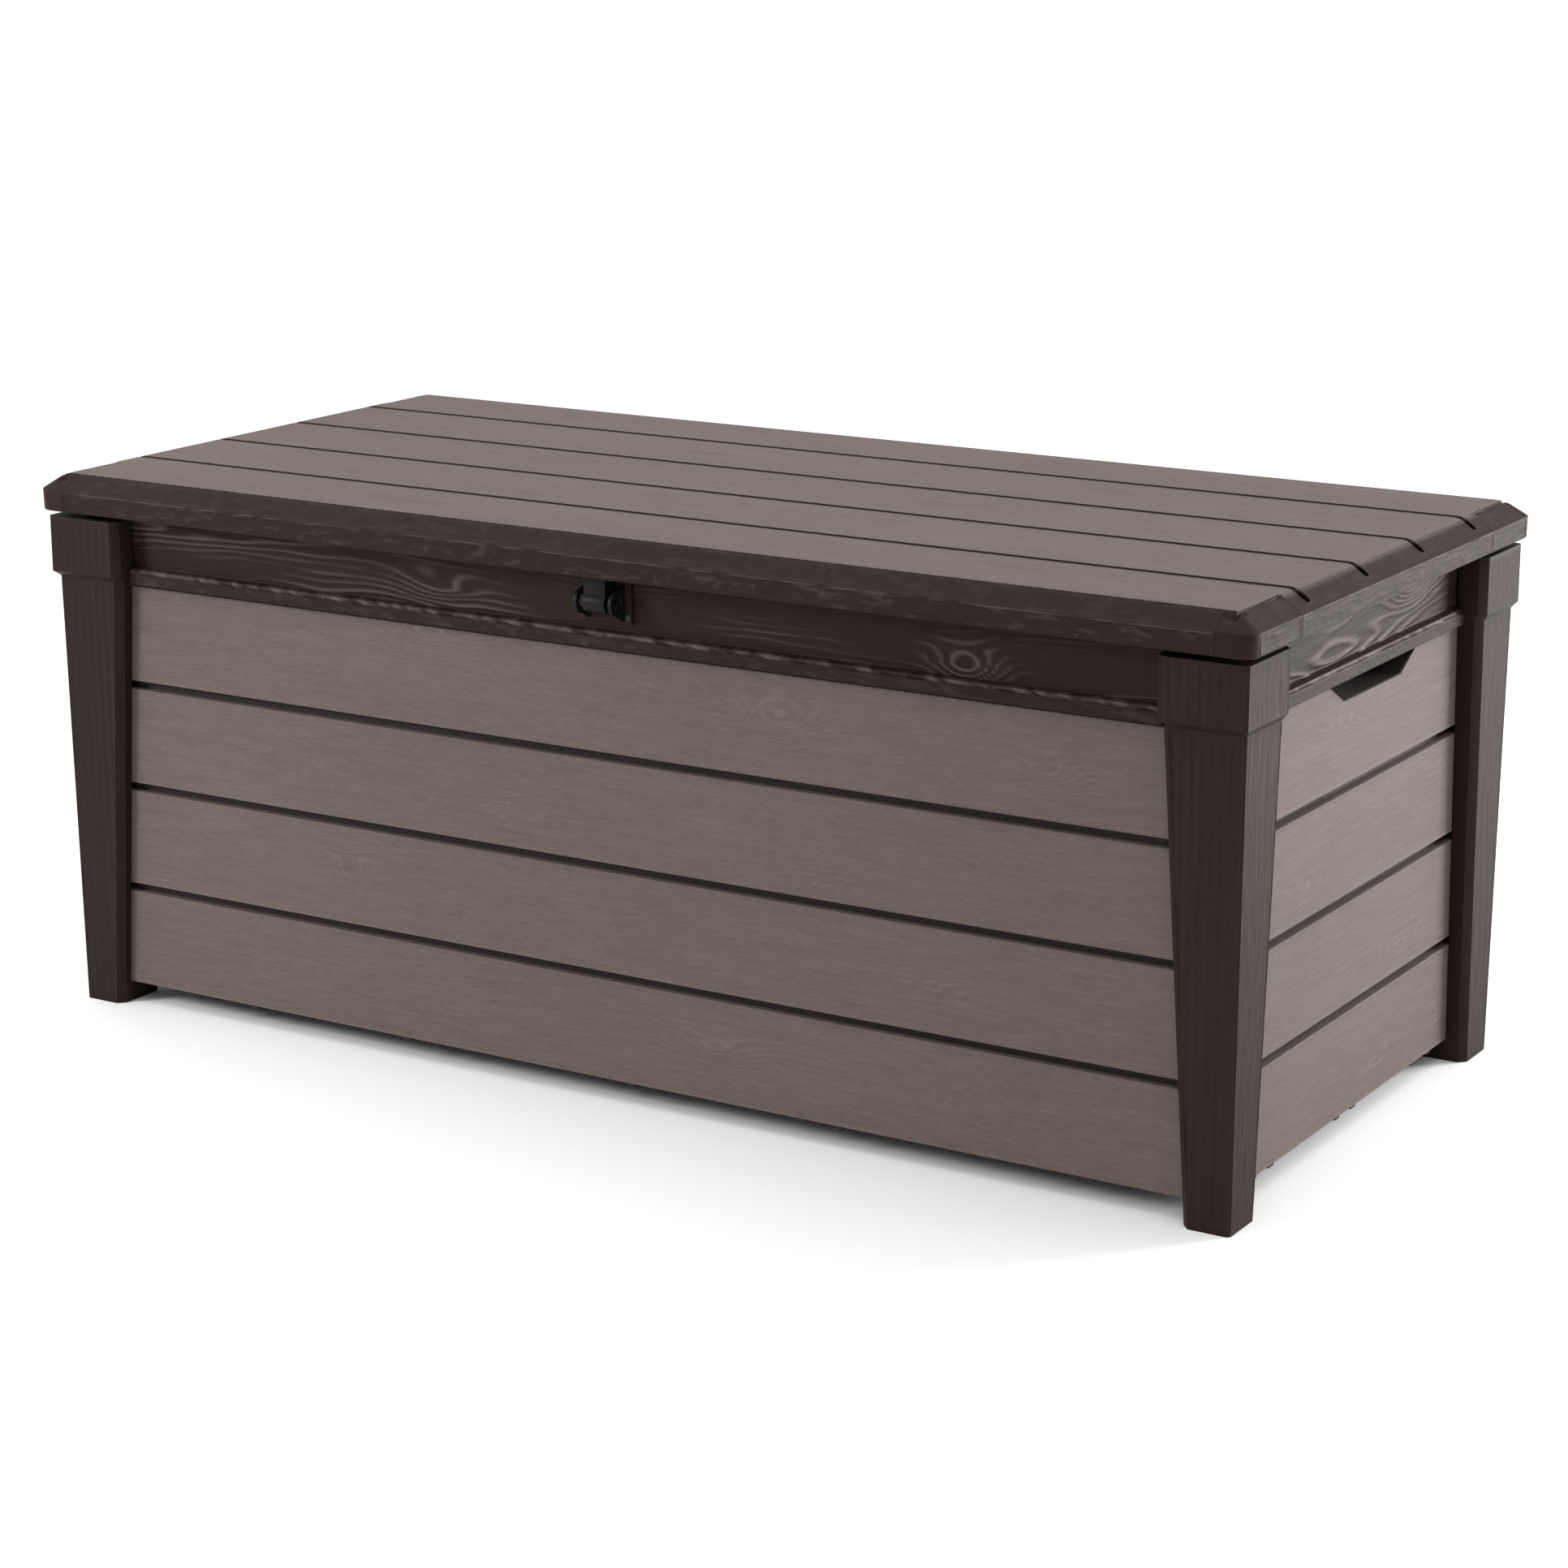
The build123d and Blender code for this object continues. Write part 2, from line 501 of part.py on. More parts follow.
front_hooks = hook_pairs((-500.0, -250.0, 0.0, 250.0, 500.0), 20.0)
end_hooks = hook_pairs((-200.0, 0.0, 200.0), 20.0)
front_wall = Pos(0, -WALL_OUT_Y, 0) * wall(WALL_IN_X, 7, front_hooks)
end_wall = Pos(WALL_OUT_X, 0, 0) * turn_to_end(wall(WALL_OUT_Y, 2, end_hooks))
grip_hole = prism_x(grip_outline(SKIN), FACE_X - GRIP_DEPTH - SKIN, FACE_X - SKIN)
end_wall -= grip_hole

front_rail = Pos(0, -FACE_Y, 0) * rail(FACE_X - RAIL_T, COLLAR_SECTION[2] - 0.2)
end_rail = Pos(FACE_X, 0, 0) * turn_to_end(rail(FACE_Y, COLLAR_SECTION[3] - 0.2))
end_rail -= block(0, FACE_X - RAIL_T, -FACE_Y, -FACE_Y + RIM_DEPTH, RAIL_BOTTOM, RAIL_TOP)
end_rail -= block(0, FACE_X - RAIL_T, FACE_Y - RIM_DEPTH, FACE_Y, RAIL_BOTTOM, RAIL_TOP)

parts["floor_panel"] = floor_panel()
parts["front_wall"] = front_wall
parts["back_wall"] = mirror_y(front_wall)
parts["right_wall"] = end_wall
parts["left_wall"] = mirror_x(end_wall)
parts["front_rail"] = front_rail
parts["back_rail"] = mirror_y(front_rail)
parts["right_rail"] = end_rail
parts["left_rail"] = mirror_x(end_rail)

for row, low_z in plank_rows():
    long_plank = Pos(0, -FACE_Y, 0) * plank(2 * WALL_OUT_X, low_z)
    short_plank = Pos(FACE_X, 0, 0) * turn_to_end(plank(2 * WALL_OUT_Y, low_z))
    if row == 1:
        short_plank -= grip_hole
        short_plank -= prism_x(grip_outline(0.0), FACE_X - SKIN - 1, FACE_X + 1)
        rim_half = GRIP_TOP_HALF + 1
        short_plank -= block(FACE_X - SKIN - 1, FACE_X + 1, GRIP_Y - rim_half, GRIP_Y + rim_half,
                             PLANK_TOP - 0.01, PLANK_TOP + 1)
    parts[f"front_plank_{row}"] = long_plank
    parts[f"back_plank_{row}"] = mirror_y(long_plank)
    parts[f"right_plank_{row}"] = short_plank
    parts[f"left_plank_{row}"] = mirror_x(short_plank)

parts["right_grip_cup"] = grip_cup()
parts["left_grip_cup"] = mirror_x(grip_cup())

back_right_post = post()
parts["back_right_post"] = back_right_post
parts["back_left_post"] = mirror_x(back_right_post)
parts["front_right_post"] = mirror_y(back_right_post)
parts["front_left_post"] = mirror_x(mirror_y(back_right_post))

frame = lid_frame()
notches = [border_notch(y) for y in LID_GROOVES]
cap_low_x, cap_low_y = LENGTH / 2 - CAP_X, WIDTH / 2 - CAP_Y
cap_zone = block(cap_low_x, LENGTH, cap_low_y, WIDTH, 0, 2 * HEIGHT)
long_zone = block(-cap_low_x + SEAM, cap_low_x - SEAM, 0, WIDTH, 0, 2 * HEIGHT)
end_zone = block(0, LENGTH, -cap_low_y + SEAM, cap_low_y - SEAM, 0, 2 * HEIGHT)
back_lid_rail = frame & long_zone
right_lid_rail = frame & end_zone
for notch in notches:
    right_lid_rail -= notch
back_right_cap = frame & cap_zone
parts["lid_back_rail"] = back_lid_rail
parts["lid_front_rail"] = mirror_y(back_lid_rail)
parts["lid_right_rail"] = right_lid_rail
parts["lid_left_rail"] = mirror_x(right_lid_rail)
parts["lid_back_right_cap"] = back_right_cap
parts["lid_back_left_cap"] = mirror_x(back_right_cap)
parts["lid_front_right_cap"] = mirror_y(back_right_cap)
parts["lid_front_left_cap"] = mirror_x(mirror_y(back_right_cap))

for number, (low_y, high_y) in enumerate(lid_plank_edges(), start=1):
    parts[f"lid_plank_{number}"] = lid_plank(low_y, high_y)
beams = lid_beams()
parts["lid_inner_panel"] = lid_inner_panel(beams)

hinge_brackets = [hinge_bracket(x) for x in HINGE_X]
hinge_leaves = [hinge_leaf(x) for x in HINGE_X]
strut_wall_brackets = [strut_wall_bracket(), mirror_x(strut_wall_bracket())]
strut_lid_brackets = [strut_lid_bracket(), mirror_x(strut_lid_bracket())]
latch_plate, latch_eye = latch_base(), latch_tongue()

hinge_box_screws, hinge_lid_screws = [], []
for x in HINGE_X:
    for s in (-1, 1):
        rail_place = (x + HINGE_SCREW_X * s, FACE_Y + HINGE_LEAF_T, HINGE_LEAF_LOW + 7)
        lip_place = (x + LID_HINGE_SCREW_X * s, FACE_Y + 11, LID_BOTTOM - HINGE_LEAF_T)
        hinge_box_screws.append(screw(rail_place, (0, -1, 0), 14))
        hinge_lid_screws.append(screw(lip_place, (0, 0, 1), SHORT_SCREW))

latch_box_screws, latch_lid_screws = [], []
strut_box_screws, strut_lid_screws = [], []
for s in (-1, 1):
    plate_place = (s * LATCH_SCREW_X, -FACE_Y - LATCH_PLATE_T, LATCH_Z - LATCH_SCREW_BELOW)
    tongue_place = (s * TONGUE_SCREW_X, LATCH_Y - 2, LID_BOTTOM - TONGUE_FOOT_T)
    latch_box_screws.append(screw(plate_place, (0, 1, 0), 12))
    latch_lid_screws.append(screw(tongue_place, (0, 0, 1), SHORT_SCREW))
    for t in (-1, 1):
        foot_y, foot_z = STRUT_FOOT
        wall_place = (s * (WALL_IN_X - BRACKET_T), foot_y, foot_z + STRUT_SCREW_Z * t)
        lid_place = (s * (STRUT_X - EYE_HALF - STRUT_SCREW_X), STRUT_HEAD[0] + STRUT_SCREW_Y * t,
                     LID_BOTTOM - BRACKET_T)
        strut_box_screws.append(screw(wall_place, (s, 0, 0), SHORT_SCREW))
        strut_lid_screws.append(screw(lid_place, (0, 0, 1), SHORT_SCREW))

for node in ("back_wall", "back_rail"):
    parts[node] = drill(parts[node], hinge_box_screws)
for node in ("front_wall", "front_rail"):
    parts[node] = drill(parts[node], latch_box_screws)
for node in ("right_wall", "left_wall"):
    parts[node] = drill(parts[node], strut_box_screws)
lid_screws = hinge_lid_screws + latch_lid_screws + strut_lid_screws
for node in ("lid_back_rail", "lid_front_rail", "lid_inner_panel"):
    parts[node] = drill(parts[node], lid_screws)
hinge_brackets = [drill(bracket, hinge_box_screws) for bracket in hinge_brackets]
hinge_leaves = [drill(leaf, hinge_lid_screws) for leaf in hinge_leaves]
strut_wall_brackets = [drill(bracket, strut_box_screws) for bracket in strut_wall_brackets]
strut_lid_brackets = [drill(bracket, strut_lid_screws) for bracket in strut_lid_brackets]
latch_plate = drill(latch_plate, latch_box_screws)
latch_eye = drill(latch_eye, latch_lid_screws)

parts["latch_base"] = latch_plate
parts["latch_tongue"] = latch_eye
parts["right_strut_cylinder"] = strut_cylinder()
parts["left_strut_cylinder"] = mirror_x(strut_cylinder())
parts["right_strut_rod"] = strut_rod()
parts["left_strut_rod"] = mirror_x(strut_rod())
parts["lid_beams"] = group(beams)
parts["hinge_brackets"] = group(hinge_brackets)
parts["hinge_leaves"] = group(hinge_leaves)
parts["hinge_pins"] = group(hinge_pin(x) for x in HINGE_X)
parts["strut_wall_brackets"] = group(strut_wall_brackets)
parts["strut_lid_brackets"] = group(strut_lid_brackets)
parts["box_screws"] = group(hinge_box_screws + latch_box_screws + strut_box_screws)
parts["lid_screws"] = group(lid_screws)

os.makedirs("parts", exist_ok=True)
for node, shape in parts.items():
    export_step(shape, f"parts/{node}.step")

# Joint values that the record needs.
open_angle = radians(LID_OPEN_DEG)
head_ahead = STRUT_HEAD_AHEAD * cos(open_angle) + STRUT_HEAD_BELOW * sin(open_angle)
head_above = STRUT_HEAD_AHEAD * sin(open_angle) - STRUT_HEAD_BELOW * cos(open_angle)
open_ahead, open_above = head_ahead - STRUT_FOOT_AHEAD, head_above + STRUT_FOOT_BELOW
strut_open = hypot(open_ahead, open_above)
swing = degrees(atan2(-open_ahead, open_above)) + STRUT_LEAN
print("nodes", len(parts))
print("strut foot", STRUT_FOOT, "closed", STRUT_CLOSED, "open", strut_open, "lean", STRUT_LEAN)
print("swing", swing, "swing ratio", swing / LID_OPEN_DEG)
print("slide", strut_open - STRUT_CLOSED, "slide ratio m/rad",
      (strut_open - STRUT_CLOSED) / 1000 / open_angle)
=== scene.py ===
"""Looks of the resin deck storage box.

The CAD bodies give every place and size. Each visible moulding is a finer copy of its CAD
node: edges eased, outer faces divided into a fine grid, and a wood grain pressed into them.
Blender works in metres; lengths named here are in millimetres unless they say otherwise.
"""
import json
from math import cos, hypot, radians, sin

import bmesh
import bpy
import numpy as np
from mathutils import Matrix, Vector

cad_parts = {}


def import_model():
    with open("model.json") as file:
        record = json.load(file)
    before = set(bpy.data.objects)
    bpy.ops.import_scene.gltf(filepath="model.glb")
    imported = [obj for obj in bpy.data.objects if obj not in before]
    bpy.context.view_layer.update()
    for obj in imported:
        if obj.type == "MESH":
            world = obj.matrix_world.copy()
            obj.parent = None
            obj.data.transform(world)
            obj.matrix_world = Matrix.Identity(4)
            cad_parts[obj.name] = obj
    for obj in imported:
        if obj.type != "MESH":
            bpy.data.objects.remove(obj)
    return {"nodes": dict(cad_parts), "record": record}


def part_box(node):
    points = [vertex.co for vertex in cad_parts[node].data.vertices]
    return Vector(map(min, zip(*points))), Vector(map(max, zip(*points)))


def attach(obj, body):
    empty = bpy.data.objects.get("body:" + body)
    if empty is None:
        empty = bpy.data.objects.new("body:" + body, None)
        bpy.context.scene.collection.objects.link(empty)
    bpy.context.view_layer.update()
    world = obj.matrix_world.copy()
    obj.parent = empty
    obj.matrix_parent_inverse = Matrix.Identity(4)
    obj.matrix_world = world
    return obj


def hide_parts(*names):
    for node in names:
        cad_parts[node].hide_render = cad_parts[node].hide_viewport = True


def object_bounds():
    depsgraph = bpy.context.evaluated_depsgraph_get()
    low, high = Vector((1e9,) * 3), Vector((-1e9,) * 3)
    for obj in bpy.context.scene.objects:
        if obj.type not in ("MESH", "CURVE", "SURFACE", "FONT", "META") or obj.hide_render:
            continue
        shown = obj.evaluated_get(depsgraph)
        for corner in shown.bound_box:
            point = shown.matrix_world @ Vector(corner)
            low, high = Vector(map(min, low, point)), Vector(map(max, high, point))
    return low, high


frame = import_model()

CAD_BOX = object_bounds()
NODES = frame["nodes"]
MM = 0.001
X, Y, Z = 0, 1, 2
FINE = 1.0
NOISE_PRIMES = (374761393, 668265263, 1274126177)

BOX, LID = "box", "lid"
CREST = "crest"                         # mesh attribute: height of the relief about its mean
SIDES = {"front": (Y, -1), "back": (Y, 1), "right": (X, 1), "left": (X, -1)}


# ---- Noise and grain ------------------------------------------------------------------
def lattice(i, j, seed):
    """Repeatable random number from -1 to 1 at each whole-number point."""
    first, second, third = NOISE_PRIMES
    h = (i * first + j * second + seed * third) & 0xFFFFFFFF
    h = ((h ^ (h >> 13)) * third) & 0xFFFFFFFF
    return ((h ^ (h >> 16)) & 0xFFFF) / 32767.5 - 1.0


def noise(u, v, seed):
    """Smooth noise from -1 to 1 with a cell of one unit."""
    i, j = np.floor(u).astype(np.int64), np.floor(v).astype(np.int64)
    fu, fv = u - i, v - j
    fu, fv = fu * fu * (3 - 2 * fu), fv * fv * (3 - 2 * fv)
    low = lattice(i, j, seed) * (1 - fu) + lattice(i + 1, j, seed) * fu
    high = lattice(i, j + 1, seed) * (1 - fu) + lattice(i + 1, j + 1, seed) * fu
    return low * (1 - fv) + high * fv


def knot_reach(u, v, knot_u, knot_v, half_u, half_v):
    """Square of the distance from a knot's heart, in its own half sizes."""
    return ((u - knot_u) / half_u) ** 2 + ((v - knot_v) / half_v) ** 2


def grain(u, v, seed, knots, pitch, wander):
    """Height from 0 to 1 of growth rings that run along u and bend round the knots."""
    line = v + wander * noise(u / 330, v / 70, seed)
    line = line + 0.3 * wander * noise(u / 90, v / 30, seed + 1)
    for *knot, lift in knots:
        line = line + lift * np.exp(-knot_reach(u, v, *knot))
    ring = line / pitch + 0.35 * noise(u / 60, v / 9, seed + 2)
    return 0.5 + 0.5 * np.cos(2 * np.pi * ring)


def nearness(u, v, knots):
    """1 at the heart of a knot, falling to 0 away from all of them."""
    near = np.zeros_like(u)
    for *knot, _ in knots:
        near = np.maximum(near, np.exp(-0.45 * knot_reach(u, v, *knot)))
    return near


def plank_relief(seed, knots=()):
    """Shallow grain of the taupe planks: faint rings, fine fibres and clear knots."""
    def rise(u, v):
        rings = grain(u, v, seed, knots, 6.5, 9.0)
        patches = 0.5 + 0.5 * noise(u / 160, v / 28, seed + 5)
        fibre = 0.5 + 0.5 * noise(u / 22, v / 2.4, seed + 7)
        clear = np.maximum(0.16 * patches, 0.9 * nearness(u, v, knots))
        return (0.5 + (rings - 0.5) * clear + 0.3 * (fibre - 0.5)).clip(0, 1)
    return rise


def ridge_relief(seed, knots, pitch, wander):
    """Bold grain of the dark rails: narrow raised ridges that come and go along the length."""
    def rise(u, v):
        ridges = grain(u, v, seed, knots, pitch, wander) ** 2.5
        strength = np.clip(0.45 + 0.95 * noise(u / 170, v / 26, seed + 5), 0.08, 1.0)
        strength = np.maximum(strength, nearness(u, v, knots))
        fibre = 0.5 + 0.5 * noise(u / 26, v / 2.6, seed + 7)
        return 0.86 * ridges * strength + 0.14 * fibre
    return rise


def blotch_relief(seed, strength=1.0, fold=None):
    """Uneven, blotched surface of the dark border, with a raised chipped line along its fold that
    the crest colour paints lighter as a painted highlight.
    """
    def rise(u, v):
        coarse = 0.6 * noise(u / 22, v / 6, seed) + noise(u / 7, v / 3, seed + 1)
        fibre = noise(u / 24, v / 2.2, seed + 2)
        level = (0.40 + strength * (0.22 * coarse + 0.16 * fibre)).clip(0, 1)
        if fold is not None:
            chips = (0.85 + 0.6 * noise(u / 16, v / 40, seed + 3)).clip(0, 1)
            level = np.maximum(level, chips * np.exp(-((v - fold) / 0.8) ** 2))
        return level
    return rise


def chip_relief(seed):
    """Short slanted chips along the top of the rails' bead."""
    def rise(u, v):
        chips = noise((u + 2.5 * v) / 9, v / 5, seed) + 0.5 * noise(u / 3.5, v / 3, seed + 1)
        return (0.50 + 0.55 * chips).clip(0, 1)
    return rise


def flute_relief(seed, first, last):
    """Upright flutes that are deepest at the edge first and fade out towards last."""
    def rise(u, v):
        ring = v / 10.4 + 0.10 * noise(u / 140, v / 20, seed)
        wave = (0.5 + 0.5 * np.cos(2 * np.pi * ring)) ** 1.6
        share = np.clip((v - last) / (first - last), 0.0, 1.0)
        fade = (0.25 + 0.75 * share) * (0.75 + 0.25 * noise(u / 160, v / 25, seed + 3))
        fibre = 0.5 + 0.5 * noise(u / 22, v / 3.0, seed + 7)
        return 0.8 * wave * fade + 0.2 * fibre
    return rise


# ---- Mesh work ------------------------------------------------------------------------
def clean_copy(node):
    """Welded copy of a CAD node with its flat faces whole again."""
    bm = bmesh.new()
    bm.from_mesh(NODES[node].data)
    bm.verts.layers.float.new(CREST)
    bmesh.ops.remove_doubles(bm, verts=bm.verts, dist=0.002 * MM)
    bmesh.ops.dissolve_limit(bm, angle_limit=radians(0.5), verts=bm.verts, edges=bm.edges)
    return bm


def ease_edges(bm, width, keep=lambda edge: False):
    """Rounds every sharp outward edge over, apart from those to keep."""
    edges = [e for e in bm.edges
             if e.is_convex and e.calc_face_angle(0) > radians(32) and not keep(e)]
    bmesh.ops.bevel(bm, geom=edges, offset=width * MM, segments=2, profile=0.6,
                    affect="EDGES", clamp_overlap=True)
    bm.normal_update()


def outer_faces(bm, directions, area=400.0):
    """Large faces that look along one of the directions."""
    found = []
    for face in bm.faces:
        if face.calc_area() > area * MM * MM:
            if any(face.normal.dot(Vector(d).normalized()) > 0.995 for d in directions):
                found.append(face)
    return found


def slice_faces(bm, faces, axis, pitch, extra=()):
    """Cuts faces into even strips across an axis, and at extra places in millimetres."""
    places = [v.co[axis] for f in faces for v in f.verts]
    low, high = min(places), max(places)
    count = max(1, round((high - low) / (pitch * FINE * MM)))
    stations = [low + (high - low) * step / count for step in range(1, count)]
    stations += [place * MM for place in extra if low < place * MM < high]
    normal = Vector([float(i == axis) for i in range(3)])
    rest, done = list(faces), []
    for station in sorted(stations):
        edges = dict.fromkeys(e for f in rest for e in f.edges)
        verts = dict.fromkeys(v for f in rest for v in f.verts)
        cut = bmesh.ops.bisect_plane(bm, geom=rest + list(edges) + list(verts), dist=1e-7,
                                     plane_co=normal * station, plane_no=normal)
        rest = []
        for piece in cut["geom"]:
            if isinstance(piece, bmesh.types.BMFace):
                beyond = piece.calc_center_median()[axis] > station
                (rest if beyond else done).append(piece)
    return done + rest


def press(bm, faces, rise, depth, along, across, middle=None):
    """Presses a relief into the inner points of divided faces.

    How far each point stands above the middle level is noted for the materials.
    """
    chosen = set(faces)
    verts = dict.fromkeys(v for f in faces for v in f.verts)
    inner = [v for v in verts if all(f in chosen for f in v.link_faces)]
    places = np.array([v.co for v in inner]) / MM
    levels = rise(places @ np.array(along, float), places @ np.array(across, float))
    bm.normal_update()
    moves = [v.normal * float(depth * (1 - level)) * MM for v, level in zip(inner, levels)]
    crest = bm.verts.layers.float[CREST]
    middle = float(levels.mean()) if middle is None else middle
    for vert, move, level in zip(inner, moves, levels):
        vert.co -= move
        vert[crest] = float(level) - middle


# ---- Places, in millimetres -------------------------------------------------------------
LID_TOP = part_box("lid_plank_1")[1][Z] / MM
LID_EDGE = CAD_BOX[1][X] / MM                       # outer face of the lid's ends
RIDGE = {X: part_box("lid_plank_1")[1][X] / MM, Y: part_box("lid_plank_5")[1][Y] / MM}
LID_FRONT = -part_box("lid_front_rail")[0][Y] / MM    # outer face of the lid's front
LID_FOOT, LID_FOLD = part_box("lid_front_rail")[0][Z] / MM, 585.8
CORNER_R, FOOT_R = 18.0, 3.6                        # lid corners in plan, lower edge
CAP_LOW_X, CAP_LOW_Y = [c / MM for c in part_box("lid_back_right_cap")[0][:2]]
RIDGE_REACH, RIDGE_R = 6.5, 19.0                    # soft fold between lid top and border
SLOPE_LEAN = radians(35.6)
RIDGE_CUTS = [1.2, 2.6, 4.2, RIDGE_REACH]           # extra rows of points beside the fold
SEAM_REACH, SEAM_DEPTH = 3.0, 3.4                   # groove between plank end and corner cap
# The fold line's chips stand high, so the crest colour paints a lighter line there: a painted
# highlight along the edge.
FOLD_LINE = LID_FOLD - 1.7                          # chipped line just under the border's fold
FACE_Y = -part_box("front_plank_1")[0][Y] / MM        # outer face of the front planks
BEAD_TOP = 503.0                                    # upper edge of the bead on the top rails
BEAD_SLOPES = ((0.832, 0.555), (0.2425, 0.970))     # outward and upward lean of the bead's top
RAIL_OUT, POST_OUT = 250.0, {X: 700.0, Y: 315.0}    # outer faces lie beyond these


# ---- Edges of the lid -------------------------------------------------------------------


def ridge_places(axis):
    """Stations beside both folds across an axis, on the lid's flat top."""
    edge = RIDGE[axis]
    return [s * (edge - cut) for s in (-1, 1) for cut in RIDGE_CUTS]


def slope_places():
    """Heights of the extra rows of points on the sloping border."""
    return [LID_TOP - cut * sin(SLOPE_LEAN) for cut in RIDGE_CUTS]


def soften_ridge(bm, axes):
    """Rounds the fold between the lid's top and its sloping border, across the given axes."""
    for vert in bm.verts:
        x, y, z = (c / MM for c in vert.co)
        if z < LID_TOP - 12:
            continue
        for axis, place in ((X, x), (Y, y)):
            if axis not in axes:
                continue
            beyond = abs(place) - RIDGE[axis]
            along = beyond / cos(SLOPE_LEAN) if beyond > 0 else -beyond
            if along >= RIDGE_REACH:
                continue
            sink = (RIDGE_REACH - along) ** 2 / (2 * RIDGE_R)
            if axis == X and abs(y) > CAP_LOW_Y and along < SEAM_REACH:
                sink += SEAM_DEPTH * (1 - along / SEAM_REACH)
            side = -1 if place > 0 else 1
            vert.co[axis] += side * sink * sin(SLOPE_LEAN / 2) * MM
            vert.co[Z] -= sink * cos(SLOPE_LEAN / 2) * MM


def eased_piece(node, body, slot, width, *materials, paint=None):
    """Copy of a CAD node with its edges rounded over; paint picks a material for each face."""
    bm = clean_copy(node)
    ease_edges(bm, width)
    mark_sharp(bm)
    if paint:
        for face in bm.faces:
            face.material_index = paint(face.calc_center_median() / MM, face.normal)
    finish_piece(bm, f"{node}_eased", body, slot, node, *materials)


def finish_piece(bm, name, body, slot, node, *materials):
    """Turns a mesh into a named piece that rides on a body in place of a CAD node."""
    mesh = bpy.data.meshes.new(name)
    for face in bm.faces:
        face.smooth = True
    bm.to_mesh(mesh)
    bm.free()
    for material in materials:
        mesh.materials.append(material)
    piece = bpy.data.objects.new(name, mesh)
    bpy.context.scene.collection.objects.link(piece)
    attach(piece, body)
    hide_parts(node)


def mark_sharp(bm, angle=30):
    """Shades edges that turn by more than an angle as creases."""
    for edge in bm.edges:
        edge.smooth = edge.calc_face_angle(0) < radians(angle)


# ---- Materials ------------------------------------------------------------------------
def new_material(name):
    material = bpy.data.materials.new(name)
    material.use_nodes = True
    tree = material.node_tree
    return material, tree, tree.nodes["Principled BSDF"]


def add(tree, kind, **values):
    """Adds a node; names that are input sockets set those, others set attributes."""
    node = tree.nodes.new(kind)
    for key, value in values.items():
        socket = key.replace("_", " ")
        if socket in node.inputs:
            node.inputs[socket].default_value = value
        else:
            setattr(node, key, value)
    return node


def stretched(tree, scale):
    """Object coordinates scaled per axis, in cells per metre."""
    place = add(tree, "ShaderNodeTexCoord")
    mapping = add(tree, "ShaderNodeMapping")
    mapping.inputs["Scale"].default_value = scale
    tree.links.new(place.outputs["Object"], mapping.inputs["Vector"])
    return mapping.outputs["Vector"]


def noise_node(tree, vector, detail=3.0, roughness=0.55):
    node = add(tree, "ShaderNodeTexNoise", Scale=1.0, Detail=detail, Roughness=roughness)
    tree.links.new(vector, node.inputs["Vector"])
    return node.outputs["Fac"]


def ramp(tree, factor, stops):
    node = add(tree, "ShaderNodeValToRGB")
    elements = node.color_ramp.elements
    while len(elements) < len(stops):
        elements.new(0.5)
    for element, (place, colour) in zip(elements, stops):
        element.position = place
        element.color = (*colour, 1.0)
    tree.links.new(factor, node.inputs["Fac"])
    return node.outputs["Color"]


def blend_colours(tree, factor, first, second, mode="MIX"):
    node = add(tree, "ShaderNodeMix", data_type="RGBA", blend_type=mode)
    for socket, value in ((node.inputs[0], factor), (node.inputs[6], first),
                          (node.inputs[7], second)):
        if isinstance(value, bpy.types.NodeSocket):
            tree.links.new(value, socket)
        else:
            socket.default_value = value
    return node.outputs[2]


def spans(tree, factor, low, high):
    """Stretches a value from 0..1, clamped, to low..high."""
    node = add(tree, "ShaderNodeMapRange")
    node.inputs["To Min"].default_value = low
    node.inputs["To Max"].default_value = high
    tree.links.new(factor, node.inputs["Value"])
    return node.outputs["Result"]


def bump(tree, shader, height, distance, strength=1.0):
    node = add(tree, "ShaderNodeBump", Strength=strength, Distance=distance * MM)
    tree.links.new(height, node.inputs["Height"])
    tree.links.new(node.outputs["Normal"], shader.inputs["Normal"])


def by_axis(axis, along, across):
    """Noise scale with long cells along one axis."""
    return [along if i == axis else across for i in range(3)]


def tint(colour, share):
    return tuple(c * share for c in colour)


